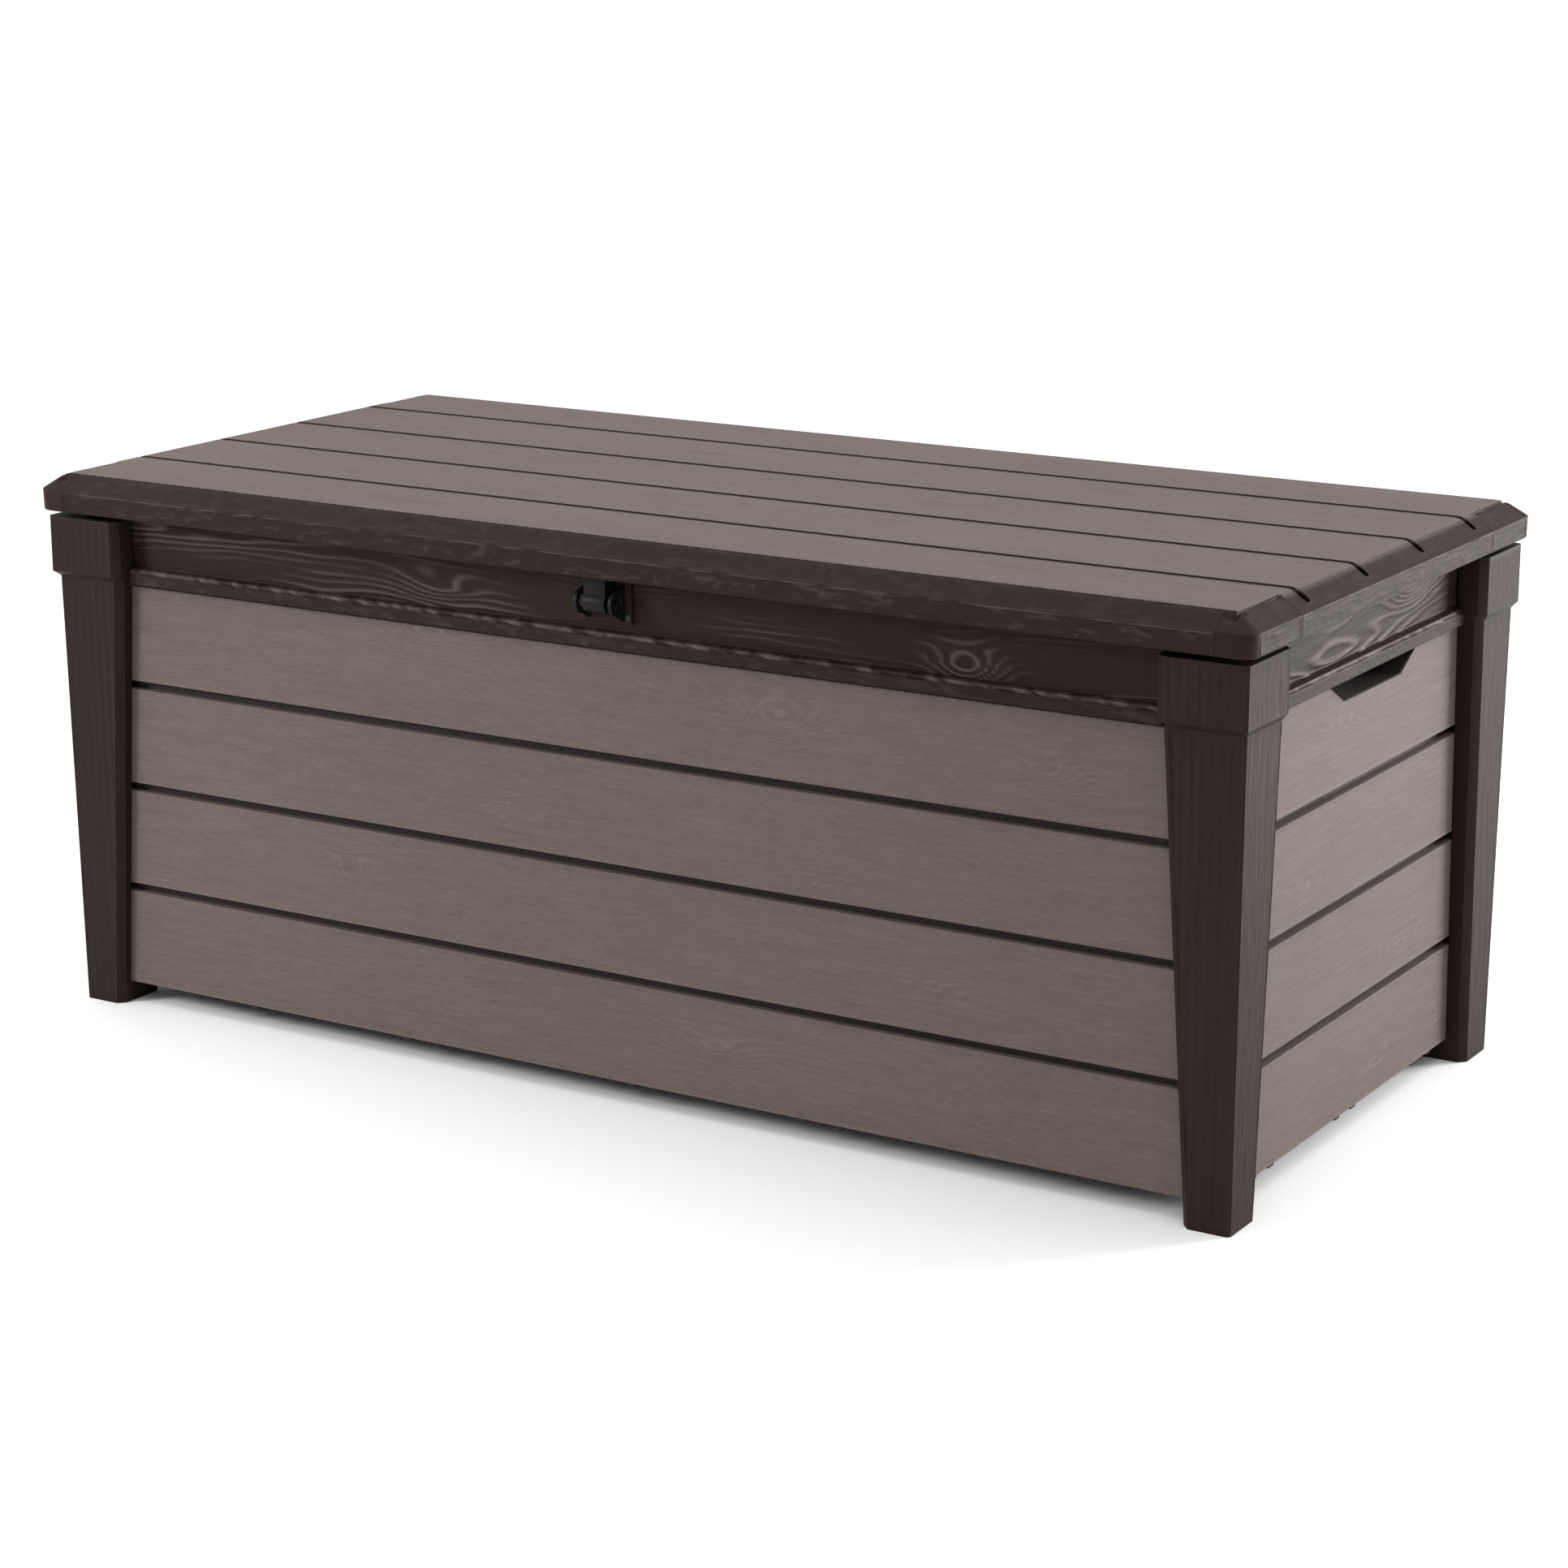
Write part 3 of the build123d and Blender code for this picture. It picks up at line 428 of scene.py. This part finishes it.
def wood_resin(name, axis, colour, roughness, specular, contrast, emboss, wear_and_highlight, share,
               rolled_from=None):
    """Moulded resin with a lengthwise wood fibre.

    The crests of its relief turn towards a lighter crest colour by a share, partly grain and wear
    and partly a painted highlight on the ridges; rolled_from tints the edge at the lid's fold.
    """
    material, tree, shader = new_material(name)
    fibre = noise_node(tree, stretched(tree, by_axis(axis, 90, 480)), 4.0, 0.6)
    streak = noise_node(tree, stretched(tree, by_axis(axis, 12, 90)), 3.0, 0.5)
    cloud = noise_node(tree, stretched(tree, by_axis(axis, 2.5, 9)), 2.0, 0.5)
    if rolled_from:
        colour = (*colour, 1.0)
        place = add(tree, "ShaderNodeTexCoord")
        split = add(tree, "ShaderNodeSeparateXYZ")
        tree.links.new(place.outputs["Object"], split.inputs["Vector"])
        height = spans(tree, split.outputs["Z"], 0.0, 1.0)
        height.node.inputs["From Min"].default_value = (LID_TOP - 5.5) * MM
        height.node.inputs["From Max"].default_value = (LID_TOP - 1.0) * MM
        colour = blend_colours(tree, height, colour, (*rolled_from, 1.0))
        body = ramp(tree, fibre, [(0.30, (1 - contrast,) * 3), (0.52, (1.0,) * 3),
                                  (0.75, (1 + contrast,) * 3)])
        base = blend_colours(tree, 1.0, colour, body, "MULTIPLY")
    else:
        base = ramp(tree, fibre, [(0.30, tint(colour, 1 - contrast)), (0.52, colour),
                                  (0.75, tint(colour, 1 + contrast))])
    shade = ramp(tree, streak, [(0.3, (1 - 0.5 * contrast,) * 3),
                                (0.7, (1 + 0.4 * contrast,) * 3)])
    patch = ramp(tree, cloud, [(0.3, (0.95,) * 3), (0.7, (1.04,) * 3)])
    base = blend_colours(tree, 1.0, base, shade, "MULTIPLY")
    base = blend_colours(tree, 1.0, base, patch, "MULTIPLY")
    # Crests turn lighter: partly grain and wear, partly a painted highlight on the ridges.
    crest = add(tree, "ShaderNodeAttribute", attribute_name=CREST).outputs["Fac"]
    base = blend_colours(tree, spans(tree, crest, 0.0, share), base, (*wear_and_highlight, 1.0))
    tree.links.new(base, shader.inputs["Base Color"])
    rough = spans(tree, fibre, roughness - 0.07, roughness + 0.09)
    tree.links.new(rough, shader.inputs["Roughness"])
    shader.inputs["Specular IOR Level"].default_value = specular
    shader.inputs["Specular Tint"].default_value = (*GLOSS_TINT, 1.0)
    bump(tree, shader, fibre, emboss)
    return material


def pebble_resin(name, colour, roughness, specular, pebble=0.08):
    """Dark resin with a fine sand-blasted texture."""
    material, tree, shader = new_material(name)
    speck = noise_node(tree, stretched(tree, (620, 620, 620)), 3.0, 0.6)
    cloud = noise_node(tree, stretched(tree, (9, 9, 9)), 3.0, 0.5)
    base = ramp(tree, cloud, [(0.3, tint(colour, 0.88)), (0.7, tint(colour, 1.1))])
    tree.links.new(base, shader.inputs["Base Color"])
    rough = spans(tree, speck, roughness - 0.08, roughness + 0.08)
    tree.links.new(rough, shader.inputs["Roughness"])
    shader.inputs["Specular IOR Level"].default_value = specular
    bump(tree, shader, speck, pebble)
    return material


def metal(name, colour, roughness, metallic, scale=(900, 900, 900), relief=0.03):
    """Plated or painted steel with faint unevenness."""
    material, tree, shader = new_material(name)
    speck = noise_node(tree, stretched(tree, scale), 3.0, 0.5)
    cloud = noise_node(tree, stretched(tree, (40, 40, 40)), 3.0, 0.5)
    base = ramp(tree, cloud, [(0.3, tint(colour, 0.82)), (0.7, tint(colour, 1.08))])
    tree.links.new(base, shader.inputs["Base Color"])
    rough = spans(tree, speck, roughness - 0.08, roughness + 0.1)
    tree.links.new(rough, shader.inputs["Roughness"])
    shader.inputs["Metallic"].default_value = metallic
    bump(tree, shader, speck, relief)
    return material


TAUPE, BROWN = (0.112, 0.088, 0.080), (0.0185, 0.0110, 0.0095)
# Darker taupe for the lid's groove flanks, groove floors and plank-end seams: painted shade in
# those recesses.
PAINTED_GROOVE_SHADE = (0.036, 0.027, 0.0245)
GLOSS_TINT = (1.0, 0.80, 0.74)
# Colours that relief crests turn to: partly grain and wear, partly a painted highlight.
TAUPE_WEAR_AND_HIGHLIGHT, BROWN_WEAR_AND_HIGHLIGHT = (0.170, 0.138, 0.126), (0.120, 0.094, 0.086)
PLANK = dict(roughness=0.62, specular=0.20, contrast=0.13, emboss=0.35, wear_and_highlight=TAUPE_WEAR_AND_HIGHLIGHT)
FRAME = dict(roughness=0.50, specular=0.11, contrast=0.18, emboss=0.30, wear_and_highlight=BROWN_WEAR_AND_HIGHLIGHT)
POST = {**FRAME, "contrast": 0.14, "emboss": 0.18}
GROOVE_SHADE_FINISH = dict(roughness=0.70, specular=0.10, contrast=0.10, emboss=0.20, wear_and_highlight=PAINTED_GROOVE_SHADE)
plank_x = wood_resin("plank_resin_along_x", X, TAUPE, share=1.0, **PLANK)
# Lid planks one tenth lighter than the wall planks: painted light on the lid's top.
lit_lid_x = wood_resin("lid_lit_resin_along_x", X, tint(TAUPE, 1.1), share=1.0, **PLANK)
plank_y = wood_resin("plank_resin_along_y", Y, TAUPE, share=1.0, **PLANK)
groove_shade_x = wood_resin("groove_shade_resin_along_x", X, PAINTED_GROOVE_SHADE, share=0.0, **GROOVE_SHADE_FINISH)
frame_x = wood_resin("frame_resin_along_x", X, BROWN, share=0.85, **FRAME)
frame_y = wood_resin("frame_resin_along_y", Y, BROWN, share=1.0, **FRAME)
frame_z = wood_resin("frame_resin_along_z", Z, BROWN, share=0.12, **POST)
border_y = wood_resin("border_resin_along_y", Y, BROWN, share=1.0, rolled_from=TAUPE, **FRAME)
inner = pebble_resin("inner_resin", (0.022, 0.016, 0.0145), 0.6, 0.2)
latch = pebble_resin("latch_resin", (0.005, 0.0055, 0.005), 0.48, 0.14, 0.03)
black_steel = metal("black_steel", (0.02, 0.02, 0.02), 0.5, 0.0)
zinc_steel = metal("zinc_steel", (0.56, 0.56, 0.57), 0.36, 1.0)
strut_paint = metal("strut_paint", (0.015, 0.015, 0.016), 0.32, 0.0)
chromed_rod = metal("chromed_rod", (0.72, 0.72, 0.74), 0.14, 1.0, (900, 900, 60), 0.01)


# ---- Planks ---------------------------------------------------------------------------
def chance_knots(low_u, high_u, low_v, high_v, seed, count):
    """Knots at repeatable random places on a plank."""
    knots = []
    for k in range(count):
        a, b, c = [float(lattice(np.int64(k), np.int64(n), seed)) for n in range(3)]
        place_u = low_u + (high_u - low_u) * (k + 0.5 + 0.35 * a) / count
        place_v = (low_v + high_v) / 2 + 0.3 * b * (high_v - low_v)
        knots.append((place_u, place_v, 38 + 14 * c, 15 + 4 * b, 26 * (1 if c > 0 else -1)))
    return knots


def unit(axis, sign=1):
    """Direction along an axis, as three floats."""
    return tuple(float(sign) if i == axis else 0.0 for i in range(3))


# Knots by plank row: place along and up, half sizes, and how far the rings bend
FRONT_KNOTS = {1: [(-225, 470, 45, 20, 26), (202, 436, 42, 19, 30), (501, 420, 30, 15, 20)],
               4: [(127, 80, 45, 15, 18)]}


def wall_plank(side, row, seed):
    """Wall plank with grain and knots pressed into its outer face."""
    node = f"{side}_plank_{row}"
    facing, sign = SIDES[side]
    along = X if facing == Y else Y
    low, high = [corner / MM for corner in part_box(node)]
    bm = clean_copy(node)
    mark_sharp(bm)
    faces = outer_faces(bm, [unit(facing, sign)])
    faces = [f for f in faces if abs(abs(f.calc_center_median()[facing]) / MM
                                     - max(abs(low[facing]), abs(high[facing]))) < 0.5]
    knots = FRONT_KNOTS.get(row) if side == "front" else None
    strips = slice_faces(bm, faces, along, 4.5 if knots else 9.0)
    tiles = slice_faces(bm, strips, Z, 1.7)
    if not knots:
        count = 2 if along == X else 1
        knots = chance_knots(low[along], high[along], low[Z], high[Z], seed, count)
    press(bm, tiles, plank_relief(seed, knots), 1.2, unit(along), unit(Z))
    finish_piece(bm, f"{node}_embossed", BOX, "plank_resin", node,
                 plank_x if along == X else plank_y)


def at_ridge(edge):
    """Edges of a lid plank that meet the lid's border."""
    ends = [v.co / MM for v in edge.verts]
    return any(all(abs(abs(end[axis]) - RIDGE[axis]) < 0.5 for end in ends) for axis in RIDGE)


def lid_plank(number, seed):
    """Lid plank with a grained top, flanks darkened as painted shade in the grooves, and a soft
    fold where the border starts.
    """
    node = f"lid_plank_{number}"
    low, high = [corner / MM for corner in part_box(node)]
    bm = clean_copy(node)
    ease_edges(bm, 2.4, at_ridge)
    mark_sharp(bm)
    faces = [f for f in outer_faces(bm, [unit(Z)])
             if f.calc_center_median().z / MM > high[Z] - 0.5]
    strips = slice_faces(bm, faces, X, 9.0, ridge_places(X))
    tiles = slice_faces(bm, strips, Y, 1.8, ridge_places(Y))
    knots = chance_knots(low[X], high[X], low[Y], high[Y], seed, 2)
    press(bm, tiles, plank_relief(seed, knots), 1.2, unit(X), unit(Y))
    # Flanks and the plank ends at the corner caps' seams take the groove colour: painted shade in
    # the grooves and seams.
    for face in bm.faces:
        x, y, _ = face.calc_center_median() / MM
        at_seam = abs(x) > RIDGE[X] - SEAM_REACH and abs(y) > CAP_LOW_Y
        face.material_index = int(abs(face.normal.y) > 0.3 or at_seam)
    soften_ridge(bm, (X, Y))
    finish_piece(bm, f"{node}_embossed", LID, "lid_plank_resin", node, lit_lid_x, groove_shade_x)


for side_number, side in enumerate(SIDES):
    for row in range(1, 5):
        wall_plank(side, row, 10 * side_number + row)
for number in range(1, 6):
    lid_plank(number, 100 + number)


# ---- Rails ----------------------------------------------------------------------------
FASCIA_KNOTS = {
    "front": [(-213, 524, 46, 17, 20), (412, 512, 34, 20, 30), (-560, 545, 200, 12, 12)],
    "back": [(150, 526, 46, 17, 24), (-430, 515, 34, 20, -28)],
    "right": [(118, 548, 55, 20, 34), (-60, 505, 130, 22, 30)],
    "left": [(-110, 545, 55, 20, 34), (80, 505, 130, 22, 30)],
}


def top_rail(side, seed):
    """Top rail with bold grain on its fascia and a chipped bead below."""
    node = f"{side}_rail"
    facing, sign = SIDES[side]
    along = X if facing == Y else Y
    bm = clean_copy(node)
    ease_edges(bm, 0.8)
    mark_sharp(bm)
    looks = [unit(facing, sign)]
    for out, rise in BEAD_SLOPES:
        looks.append([rise if i == Z else sign * out * (i == facing) for i in range(3)])
    faces = outer_faces(bm, looks, 900.0)
    faces = [f for f in faces if f.calc_center_median()[facing] * sign / MM > RAIL_OUT]
    bead_top = [f for f in faces if f.normal.z > 0.3]
    upright = [f for f in faces if f.normal.z < 0.3]
    fascia = [f for f in upright if f.calc_center_median().z / MM > BEAD_TOP]
    bead = [f for f in upright if f.calc_center_median().z / MM < BEAD_TOP]
    tiles = slice_faces(bm, slice_faces(bm, fascia, along, 4.0), Z, 1.3)
    chips = slice_faces(bm, slice_faces(bm, bead_top, along, 3.0), Z, 1.3)
    band = slice_faces(bm, slice_faces(bm, bead, along, 9.0), Z, 2.0)
    relief = ridge_relief(seed, FASCIA_KNOTS[side], 8.5, 14.0)
    press(bm, tiles, relief, 1.9 if along == X else 2.4, unit(along), unit(Z))
    # The middle level of 0.15 leaves most of the bead's top above it, so it is painted lighter all
    # along: a painted highlight, broken up by the chips.
    press(bm, chips, chip_relief(seed + 50), 1.6, unit(along), unit(Z), 0.15)
    press(bm, band, blotch_relief(seed + 60, 0.6), 0.4, unit(along), unit(Z))
    finish_piece(bm, f"{node}_embossed", BOX, "frame_resin", node,
                 frame_x if along == X else frame_y)


for seed, side in enumerate(SIDES):
    top_rail(side, 200 + seed)


# ---- Lid border -----------------------------------------------------------------------
def on_seam(edge):
    """Edges where a rail of the lid's border meets a corner cap."""
    ends = [v.co / MM for v in edge.verts]
    return any(all(abs(abs(end[axis]) - place) < 1.0 for end in ends)
               for axis, place in ((X, CAP_LOW_X), (Y, CAP_LOW_Y)))


def round_foot(bm):
    """Rounds the lower outer edge of the lid's border."""
    for vert in bm.verts:
        x, y, z = (c / MM for c in vert.co)
        rise = max(0.0, z - LID_FOOT)
        if rise >= FOOT_R:
            continue
        out = (max(0.0, abs(x) - LID_EDGE + CORNER_R), max(0.0, abs(y) - LID_FRONT + CORNER_R))
        reach = hypot(*out)
        move = FOOT_R - (FOOT_R ** 2 - (FOOT_R - rise) ** 2) ** 0.5 - (CORNER_R - reach)
        if reach and move > 0:
            vert.co.x -= move * out[0] / reach * (1 if x > 0 else -1) * MM
            vert.co.y -= move * out[1] / reach * (1 if y > 0 else -1) * MM


def lid_border(node, directions, along, seed, material, axes):
    """Rail or cap of the lid's dark border, with its slope and upright faces divided."""
    bm = clean_copy(node)
    ease_edges(bm, 0.9, on_seam)
    mark_sharp(bm)
    slopes = []
    for direction in directions:
        lean = [c * sin(SLOPE_LEAN) for c in direction]
        slopes.append((lean[X], lean[Y], cos(SLOPE_LEAN)))
    upright = outer_faces(bm, directions, 200.0)
    sloping = outer_faces(bm, slopes, 200.0)
    tiles = slice_faces(bm, slice_faces(bm, upright, along, 5.0), Z, 1.5, [FOLD_LINE])
    incline = slice_faces(bm, slice_faces(bm, sloping, along, 5.0), Z, 1.6, slope_places())
    press(bm, tiles, blotch_relief(seed, 1.0, FOLD_LINE), 1.3, unit(along), unit(Z))
    press(bm, incline, blotch_relief(seed + 20, 0.35), 0.8, unit(along), unit(Z))
    soften_ridge(bm, axes)
    round_foot(bm)
    finish_piece(bm, f"{node}_embossed", LID, "frame_resin", node, material)


for seed, side in enumerate(SIDES):
    facing, sign = SIDES[side]
    along = X if facing == Y else Y
    lid_border(f"lid_{side}_rail", [unit(facing, sign)], along, 300 + seed,
               frame_x if along == X else border_y, (facing,))
for front in ("front", "back"):
    for end in ("left", "right"):
        looks = [unit(*SIDES[front]), unit(*SIDES[end])]
        lid_border(f"lid_{front}_{end}_cap", looks, Y, 340 + len(front + end), frame_y, (X, Y))


# ---- Posts ----------------------------------------------------------------------------
def corner_post(front, end, seed):
    """Corner post, fluted on its front or back and blotched on its end."""
    node = f"{front}_{end}_post"
    inner_edge = min(abs(corner[X]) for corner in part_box(node)) / MM
    bm = clean_copy(node)
    ease_edges(bm, 0.9)
    mark_sharp(bm)
    for turn, side in enumerate((front, end)):
        facing, sign = SIDES[side]
        across = X if facing == Y else Y
        look = Vector(unit(facing, sign))
        faces = [f for f in bm.faces if f.normal.dot(look) > 0.98
                 and f.calc_area() > 1200 * MM * MM
                 and abs(f.calc_center_median()[facing]) / MM > POST_OUT[facing]]
        tiles = slice_faces(bm, slice_faces(bm, faces, Z, 9.0), across, 1.6)
        if facing == Y:
            side_sign = SIDES[end][1]
            relief = flute_relief(seed, side_sign * inner_edge, side_sign * LID_EDGE)
            press(bm, tiles, relief, 1.3 if end == "right" else 0.5, unit(Z), unit(X))
        else:
            press(bm, tiles, blotch_relief(seed + 1), 0.8, unit(Z), unit(Y))
    finish_piece(bm, f"{node}_fluted", BOX, "frame_resin", node, frame_z)


for seed, (front, end) in enumerate((f, e) for f in ("front", "back") for e in ("left", "right")):
    corner_post(front, end, 400 + 2 * seed)


# ---- Latch, hinges, struts and the inside -----------------------------------------------
def latch_paint(centre, _normal):
    """The rail's resin where the latch plate meets it, black on the ears in front."""
    return 0 if -centre.y < FACE_Y + 2.7 else 1


def panel_paint(centre, normal):
    """Strips at the bottom of the lid's grooves take the darker groove colour as painted shade;
    dark resin elsewhere.
    """
    return 1 if normal.z > 0.5 and centre.z > LID_TOP - 9 else 0


eased_piece("latch_base", BOX, "latch_resin", 1.0, frame_x, latch, paint=latch_paint)
eased_piece("latch_tongue", LID, "latch_resin", 2.2, latch)
eased_piece("lid_inner_panel", LID, "inner_resin", 0.5, inner, groove_shade_x, paint=panel_paint)
for node in ("floor_panel", "front_wall", "back_wall", "left_wall", "right_wall",
             "left_grip_cup", "right_grip_cup"):
    eased_piece(node, BOX, "frame_resin" if "cup" in node else "inner_resin", 0.5, inner)
for node, body in (("hinge_brackets", BOX), ("hinge_leaves", LID), ("strut_wall_brackets", BOX),
                   ("strut_lid_brackets", LID)):
    eased_piece(node, body, "black_steel", 0.5, black_steel)
for side in ("left", "right"):
    cylinder, rod = f"{side}_strut_cylinder", f"{side}_strut_rod"
    eased_piece(cylinder, cylinder, "strut_paint", 0.6, strut_paint)
    eased_piece(rod, rod, "chromed_rod", 0.4, chromed_rod)


# ---- Screws -------------------------------------------------------------------------------
def screw_places(node):
    """Middle of each screw's head and the way its head looks, from the CAD solids."""
    bm = clean_copy(node)
    todo, places = set(bm.verts), []
    while todo:
        front, island = [todo.pop()], []
        while front:
            vert = front.pop()
            island.append(vert)
            for edge in vert.link_edges:
                other = edge.other_vert(vert)
                if other in todo:
                    todo.discard(other)
                    front.append(other)
        points = np.array([v.co for v in island])
        low, high = points.min(0), points.max(0)
        axis = int(np.argmax(high - low))
        middle = (low + high) / 2
        spread = np.linalg.norm(np.delete(points - middle, axis, 1), axis=1)
        wide = points[spread > 0.7 * spread.max()][:, axis]
        sign = 1 if wide.mean() > middle[axis] else -1
        middle[axis] = wide.min() if sign > 0 else wide.max()
        places.append((Vector(middle), Vector(unit(axis, sign))))
    bm.free()
    return sorted(places, key=lambda place: tuple(place[0]))


def screw_head(bm, middle, look):
    """Domed head with a cross recess, on a short flange."""
    radius, rise, steps = 4.0, 2.2, 18 if FINE == 1.0 else 12
    turn = look.to_track_quat("Z", "Y").to_matrix()
    grid = []
    for i in range(steps + 1):
        row = []
        for j in range(steps + 1):
            a, b = 2 * i / steps - 1, 2 * j / steps - 1
            u, v = a * (1 - b * b / 2) ** 0.5, b * (1 - a * a / 2) ** 0.5
            r = min(1.0, (u * u + v * v) ** 0.5)
            height = rise * (0.35 + 0.65 * (1 - r ** 2.6)) if r < 0.97 else 0.0
            arm = min(abs(u), abs(v)) < 0.13 and max(abs(u), abs(v)) < 0.56
            height -= 1.1 if arm else 0.0
            place = Vector((u * radius, v * radius, height)) * MM
            row.append(bm.verts.new(middle + turn @ place))
        grid.append(row)
    for i in range(steps):
        for j in range(steps):
            bm.faces.new((grid[i][j], grid[i + 1][j], grid[i + 1][j + 1], grid[i][j + 1]))


for node, body in (("box_screws", BOX), ("lid_screws", LID)):
    bm = bmesh.new()
    for middle, look in screw_places(node):
        screw_head(bm, middle, look)
    mark_sharp(bm, 40)
    bm.normal_update()
    for face in bm.faces:                           # the latch's screws are black
        face.material_index = int(face.calc_center_median().y / MM < -FACE_Y)
    finish_piece(bm, f"{node}_heads", body, "zinc_steel", node, zinc_steel, black_steel)


# ---- CAD parts that keep their shape ----------------------------------------------------
FINISHES = {
    "inner_resin": inner, "latch_resin": latch, "black_steel": black_steel,
    "zinc_steel": zinc_steel, "strut_paint": strut_paint, "chromed_rod": chromed_rod,
    "plank_resin": plank_x, "lid_plank_resin": plank_x, "frame_resin": frame_z,
}
for part in frame["record"]["subparts"]:
    mesh = NODES[part["node"]].data
    finish = FINISHES[part["material_slot"]]
    for index in range(len(mesh.materials)):
        mesh.materials[index] = finish


# ---- Floor, light and camera --------------------------------------------------------------
def floor():
    half = 30.0
    mesh = bpy.data.meshes.new("studio_floor")
    mesh.from_pydata([(-half, -half, 0), (half, -half, 0), (half, half, 0), (-half, half, 0)],
                     [], [(0, 1, 2, 3)])
    material, tree, shader = new_material("studio_floor")
    cloud = noise_node(tree, stretched(tree, (0.6, 0.6, 0.6)), 2.0, 0.5)
    base = ramp(tree, cloud, [(0.3, (0.88, 0.88, 0.88)), (0.7, (0.92, 0.92, 0.92))])
    tree.links.new(base, shader.inputs["Base Color"])
    shader.inputs["Roughness"].default_value = 0.9
    shader.inputs["Specular IOR Level"].default_value = 0.1
    mesh.materials.append(material)
    plane = bpy.data.objects.new("studio_floor", mesh)
    bpy.context.scene.collection.objects.link(plane)


def area_light(name, place, target, size, watts, spread=180):
    data = bpy.data.lights.new(name, "AREA")
    data.shape = "SQUARE"
    data.size = size
    data.energy = watts
    data.spread = radians(spread)
    lamp = bpy.data.objects.new(name, data)
    lamp.location = place
    aim = Vector(target) - Vector(place)
    lamp.rotation_euler = aim.to_track_quat("-Z", "Y").to_euler()
    lamp.visible_camera = False
    bpy.context.scene.collection.objects.link(lamp)


def world(horizon, zenith):
    """White sky that is brighter overhead than at the horizon."""
    scene_world = bpy.data.worlds.new("studio")
    scene_world.use_nodes = True
    tree = scene_world.node_tree
    background = tree.nodes["Background"]
    place = add(tree, "ShaderNodeTexCoord")
    split = add(tree, "ShaderNodeSeparateXYZ")
    tree.links.new(place.outputs["Generated"], split.inputs["Vector"])
    tree.links.new(spans(tree, split.outputs["Z"], horizon, zenith), background.inputs["Strength"])
    background.inputs["Color"].default_value = (1.0, 1.0, 1.0, 1.0)
    bpy.context.scene.world = scene_world


def camera(place, turn, pitch, roll, lens):
    """Camera at the photograph's angle; angles in degrees, lens in millimetres."""
    data = bpy.data.cameras.new("camera")
    data.lens = lens
    data.sensor_width = 36.0
    data.clip_end = 200.0
    eye = bpy.data.objects.new("camera", data)
    spin = Matrix.Rotation(radians(turn), 4, "Z") @ Matrix.Rotation(radians(90 - pitch), 4, "X")
    eye.matrix_world = Matrix.Translation(place) @ spin @ Matrix.Rotation(radians(roll), 4, "Z")
    bpy.context.scene.collection.objects.link(eye)
    bpy.context.scene.camera = eye


floor()
world(0.16, 1.75)
area_light("key", (-2.5, -2.6, 1.7), (-0.6, -0.3, 0.35), 0.9, 13, 75)
area_light("side", (2.9, 2.9, 1.2), (0.7, 0.0, 0.3), 1.3, 200)
camera((2.0908, -3.3713, 1.3136), 31.592, 14.699, -0.094, 86.38)
bpy.context.scene.view_settings.view_transform = "Standard"
